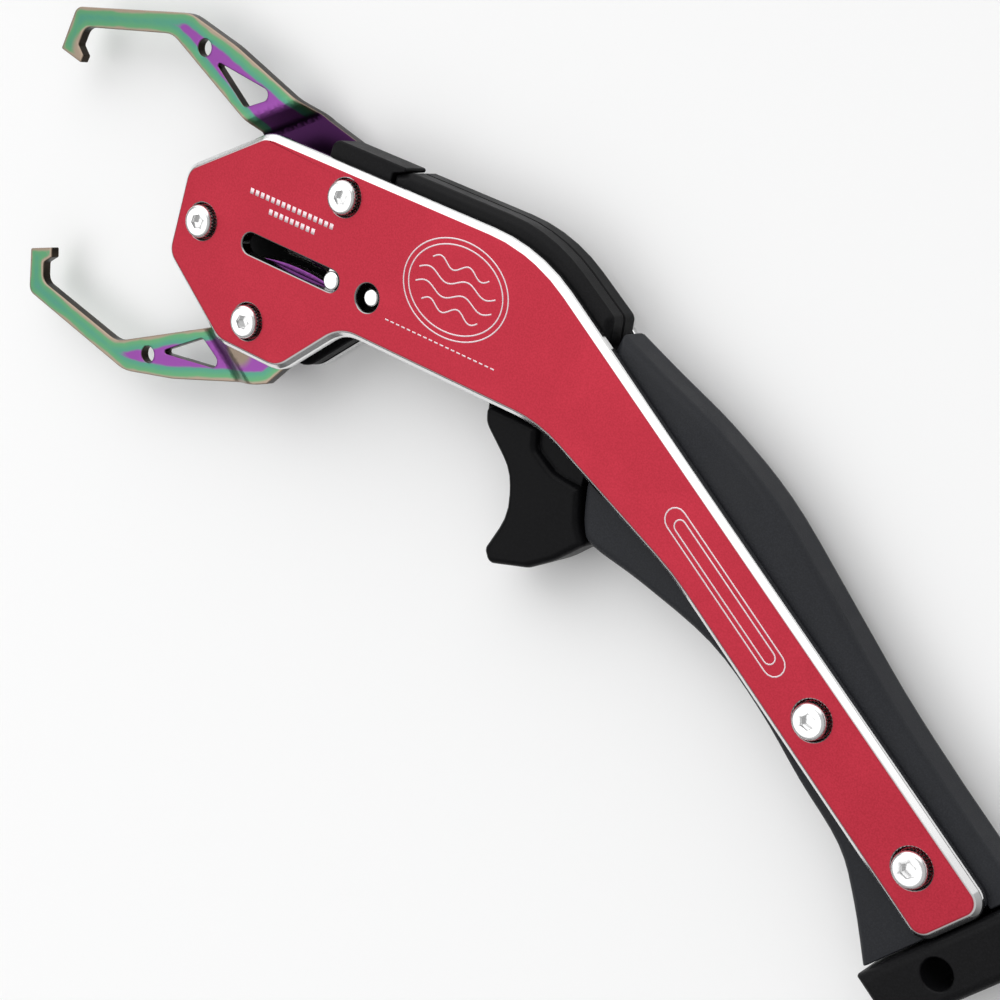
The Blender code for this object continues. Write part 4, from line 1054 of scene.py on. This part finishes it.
def dashes(base, offset, row, level):
    """A row of short even strokes along X: (length, count) in row, from base moved by offset."""
    length, count = row
    pitch = length / count
    across = base[1] + offset[1]
    strokes = []
    for index in range(count):
        left = base[0] + offset[0] + index * pitch
        strokes.append(([(left, across, level), (left + pitch * DASH_SHARE, across, level)], False))
    return strokes


def rounded_bar(centre, length, width, slant, level, steps=8):
    """A plain long outline with round ends, turned by slant."""
    points = []
    for way in (1, -1):
        for step in range(steps + 1):
            angle = -math.pi / 2 + math.pi * step / steps
            along = way * (length / 2 + width / 2 * math.cos(angle))
            across = way * width / 2 * math.sin(angle)
            points.append((centre[0] + along * math.cos(slant) - across * math.sin(slant),
                           centre[1] + along * math.sin(slant) + across * math.cos(slant), level))
    return points


class GRIPPER_OT_marks(bpy.types.Operator):
    """Plain engraved marks on the front plate: a ring with waves, rules, and a long bar"""
    bl_idname = "gripper.marks"
    bl_label = "Engraved Marks"

    def execute(self, context):
        level = FRONT_Z
        guide = middle("guide_pin")
        centre = (guide.x + EMBLEM_FROM_GUIDE[0], guide.y + EMBLEM_FROM_GUIDE[1])
        length, height = sizes().ring_length, sizes().ring_height
        inner = (length * INNER_RING_SHARE[0], height * INNER_RING_SHARE[1])
        runs = [(ring_points(centre, length, height, level), True),
                (ring_points(centre, *inner, level), True)]
        for offset, reach in WAVES:
            runs.append((wave((centre[0], centre[1] + offset), reach, WAVE_RISE, level), False))
        nose = middle("nose_screw")
        bold = dashes(nose, UPPER_ROW_FROM_NOSE, UPPER_ROW, level)
        bold += dashes(nose, LOWER_ROW_FROM_NOSE, LOWER_ROW, level)
        runs += dashes(centre, RULE_FROM_EMBLEM, RULE, level)
        first = middle("handle_screw")
        second = middle("butt_screw")
        slant = math.atan2(second.y - first.y, second.x - first.x)
        bar = (first.x - BAR_AHEAD_OF_SCREW * math.cos(slant),
               first.y - BAR_AHEAD_OF_SCREW * math.sin(slant))
        for length, width in BAR_OUTLINES:
            runs.append((rounded_bar(bar, length, width, slant, level), True))
        tree = line_tree()
        for name, lines, width in (("engraved_marks", runs, sizes().mark_width),
                                   ("engraved_strokes", bold,
                                    sizes().mark_width * STROKE_WIDTHS)):
            piece = curve_piece(name + "_lines", lines)
            run_tree(piece, tree, {"Width": width, "Height": sizes().mark_height,
                                   "Finish": finish_named("engraved_line")})
            attach(settle(piece, name), "frame_body", "red_anodised")
        return {"FINISHED"}


# ---------------------------------------------------------------- stage

def looking(place, aim, up):
    """The matrix of a camera or a light at a place, looking along aim with up towards its top."""
    back = -aim.normalized()
    right = up.cross(back).normalized()
    matrix = Matrix((right, back.cross(right), back)).transposed().to_4x4()
    matrix.translation = place
    return matrix


def soft_room(strength, glow):
    """Even light from above that falls off to the horizon, and a broad glow behind the head."""
    world = bpy.data.worlds.new("soft_room")
    world.use_nodes = True
    tree = world.node_tree
    toward = tree.nodes.new("ShaderNodeTexCoord").outputs["Generated"]
    split = tree.nodes.new("ShaderNodeSeparateXYZ")
    tree.links.new(toward, split.inputs[0])
    rise = ramp_between(tree, split.outputs["Z"], 0.05, 0.65)
    lean = tree.nodes.new("ShaderNodeVectorMath")
    lean.operation = "DOT_PRODUCT"
    tree.links.new(toward, lean.inputs[0])
    lean.inputs[1].default_value = GLOW_TOWARD
    lobe = ramp_between(tree, lean.outputs["Value"], 0.55, 0.82)
    even = math_node(tree, "MULTIPLY", rise, strength * (1 - HORIZON_SHARE))
    even = math_node(tree, "ADD", even, strength * HORIZON_SHARE)
    total = math_node(tree, "ADD", even, math_node(tree, "MULTIPLY", lobe, glow))
    tree.nodes["Background"].inputs["Color"].default_value = (1.0, 1.0, 1.0, 1.0)
    tree.links.new(total, tree.nodes["Background"].inputs["Strength"])
    return world


def add_light(name, place, target, side, power):
    """A square area light at a place that shines on a target."""
    light = bpy.data.lights.new(name, "AREA")
    light.shape = "RECTANGLE"
    light.size = light.size_y = side
    light.energy = power
    lamp = bpy.data.objects.new(name, light)
    bpy.context.scene.collection.objects.link(lamp)
    lamp.matrix_world = looking(place, target - place, Vector((0.0, 1.0, 0.1)))


class GRIPPER_OT_stage(bpy.types.Operator):
    """A pale floor, soft studio light and the camera"""
    bl_idname = "gripper.stage"
    bl_label = "Stage"

    def execute(self, context):
        stage = context.scene.gripper_stage
        mesh = bpy.data.meshes.new("floor")
        level = CAD_BOX[0][2] - FLOOR_GAP
        corners = [(x * FLOOR_HALF, y * FLOOR_HALF, level)
                   for x, y in ((-1, -1), (1, -1), (1, 1), (-1, 1))]
        mesh.from_pydata(corners, [], [(0, 1, 2, 3)])
        finish = Finish("pale_floor", (0.92, 0.92, 0.92), 0.7, 0.0)
        link_mesh("floor", mesh, finish.material)
        context.scene.world = soft_room(stage.room, stage.glow)
        context.scene.view_settings.view_transform = "Standard"
        add_light("key_light", KEY_PLACE, KEY_TARGET, KEY_SIDE, stage.key_power)
        camera = bpy.data.cameras.new("camera")
        camera.lens = stage.lens
        camera.sensor_width = SENSOR
        camera.clip_start = 0.01
        eye = bpy.data.objects.new("camera", camera)
        context.scene.collection.objects.link(eye)
        eye.matrix_world = looking(CAMERA_PLACE, CAMERA_AIM, CAMERA_UP)
        context.scene.camera = eye
        return {"FINISHED"}


class GRIPPER_PT_panel(bpy.types.Panel):
    """Lists the gripper's pieces in the sidebar"""
    bl_idname = "GRIPPER_PT_panel"
    bl_label = "Fish Gripper"
    bl_space_type = "VIEW_3D"
    bl_region_type = "UI"
    bl_category = "Gripper"

    def draw(self, context):
        for group in GROUPS:
            settings = getattr(context.scene, group)
            box = self.layout.box()
            for name in settings.bl_rna.properties.keys():
                if name not in ("rna_type", "name"):
                    box.prop(settings, name)
        for step in STEPS:
            self.layout.operator(step.bl_idname)


STEPS = (GRIPPER_OT_stage, GRIPPER_OT_side_plates, GRIPPER_OT_jaws, GRIPPER_OT_core,
         GRIPPER_OT_grips, GRIPPER_OT_trigger, GRIPPER_OT_screws, GRIPPER_OT_pins,
         GRIPPER_OT_spring, GRIPPER_OT_marks)
GROUPS = {"gripper_sizes": GripperSizes, "gripper_finishes": GripperFinishes,
          "gripper_stage": GripperStage}


def register():
    for group in GROUPS.values():
        bpy.utils.register_class(group)
    for step in STEPS:
        bpy.utils.register_class(step)
    bpy.utils.register_class(GRIPPER_PT_panel)
    for name, group in GROUPS.items():
        setattr(bpy.types.Scene, name, PointerProperty(type=group))


def unregister():
    for name in GROUPS:
        delattr(bpy.types.Scene, name)
    bpy.utils.unregister_class(GRIPPER_PT_panel)
    for step in reversed(STEPS):
        bpy.utils.unregister_class(step)
    for group in reversed(GROUPS.values()):
        bpy.utils.unregister_class(group)


def main():
    register()
    for step in STEPS:
        family, action = step.bl_idname.split(".")
        getattr(getattr(bpy.ops, family), action)()


if __name__ == "__main__":
    main()
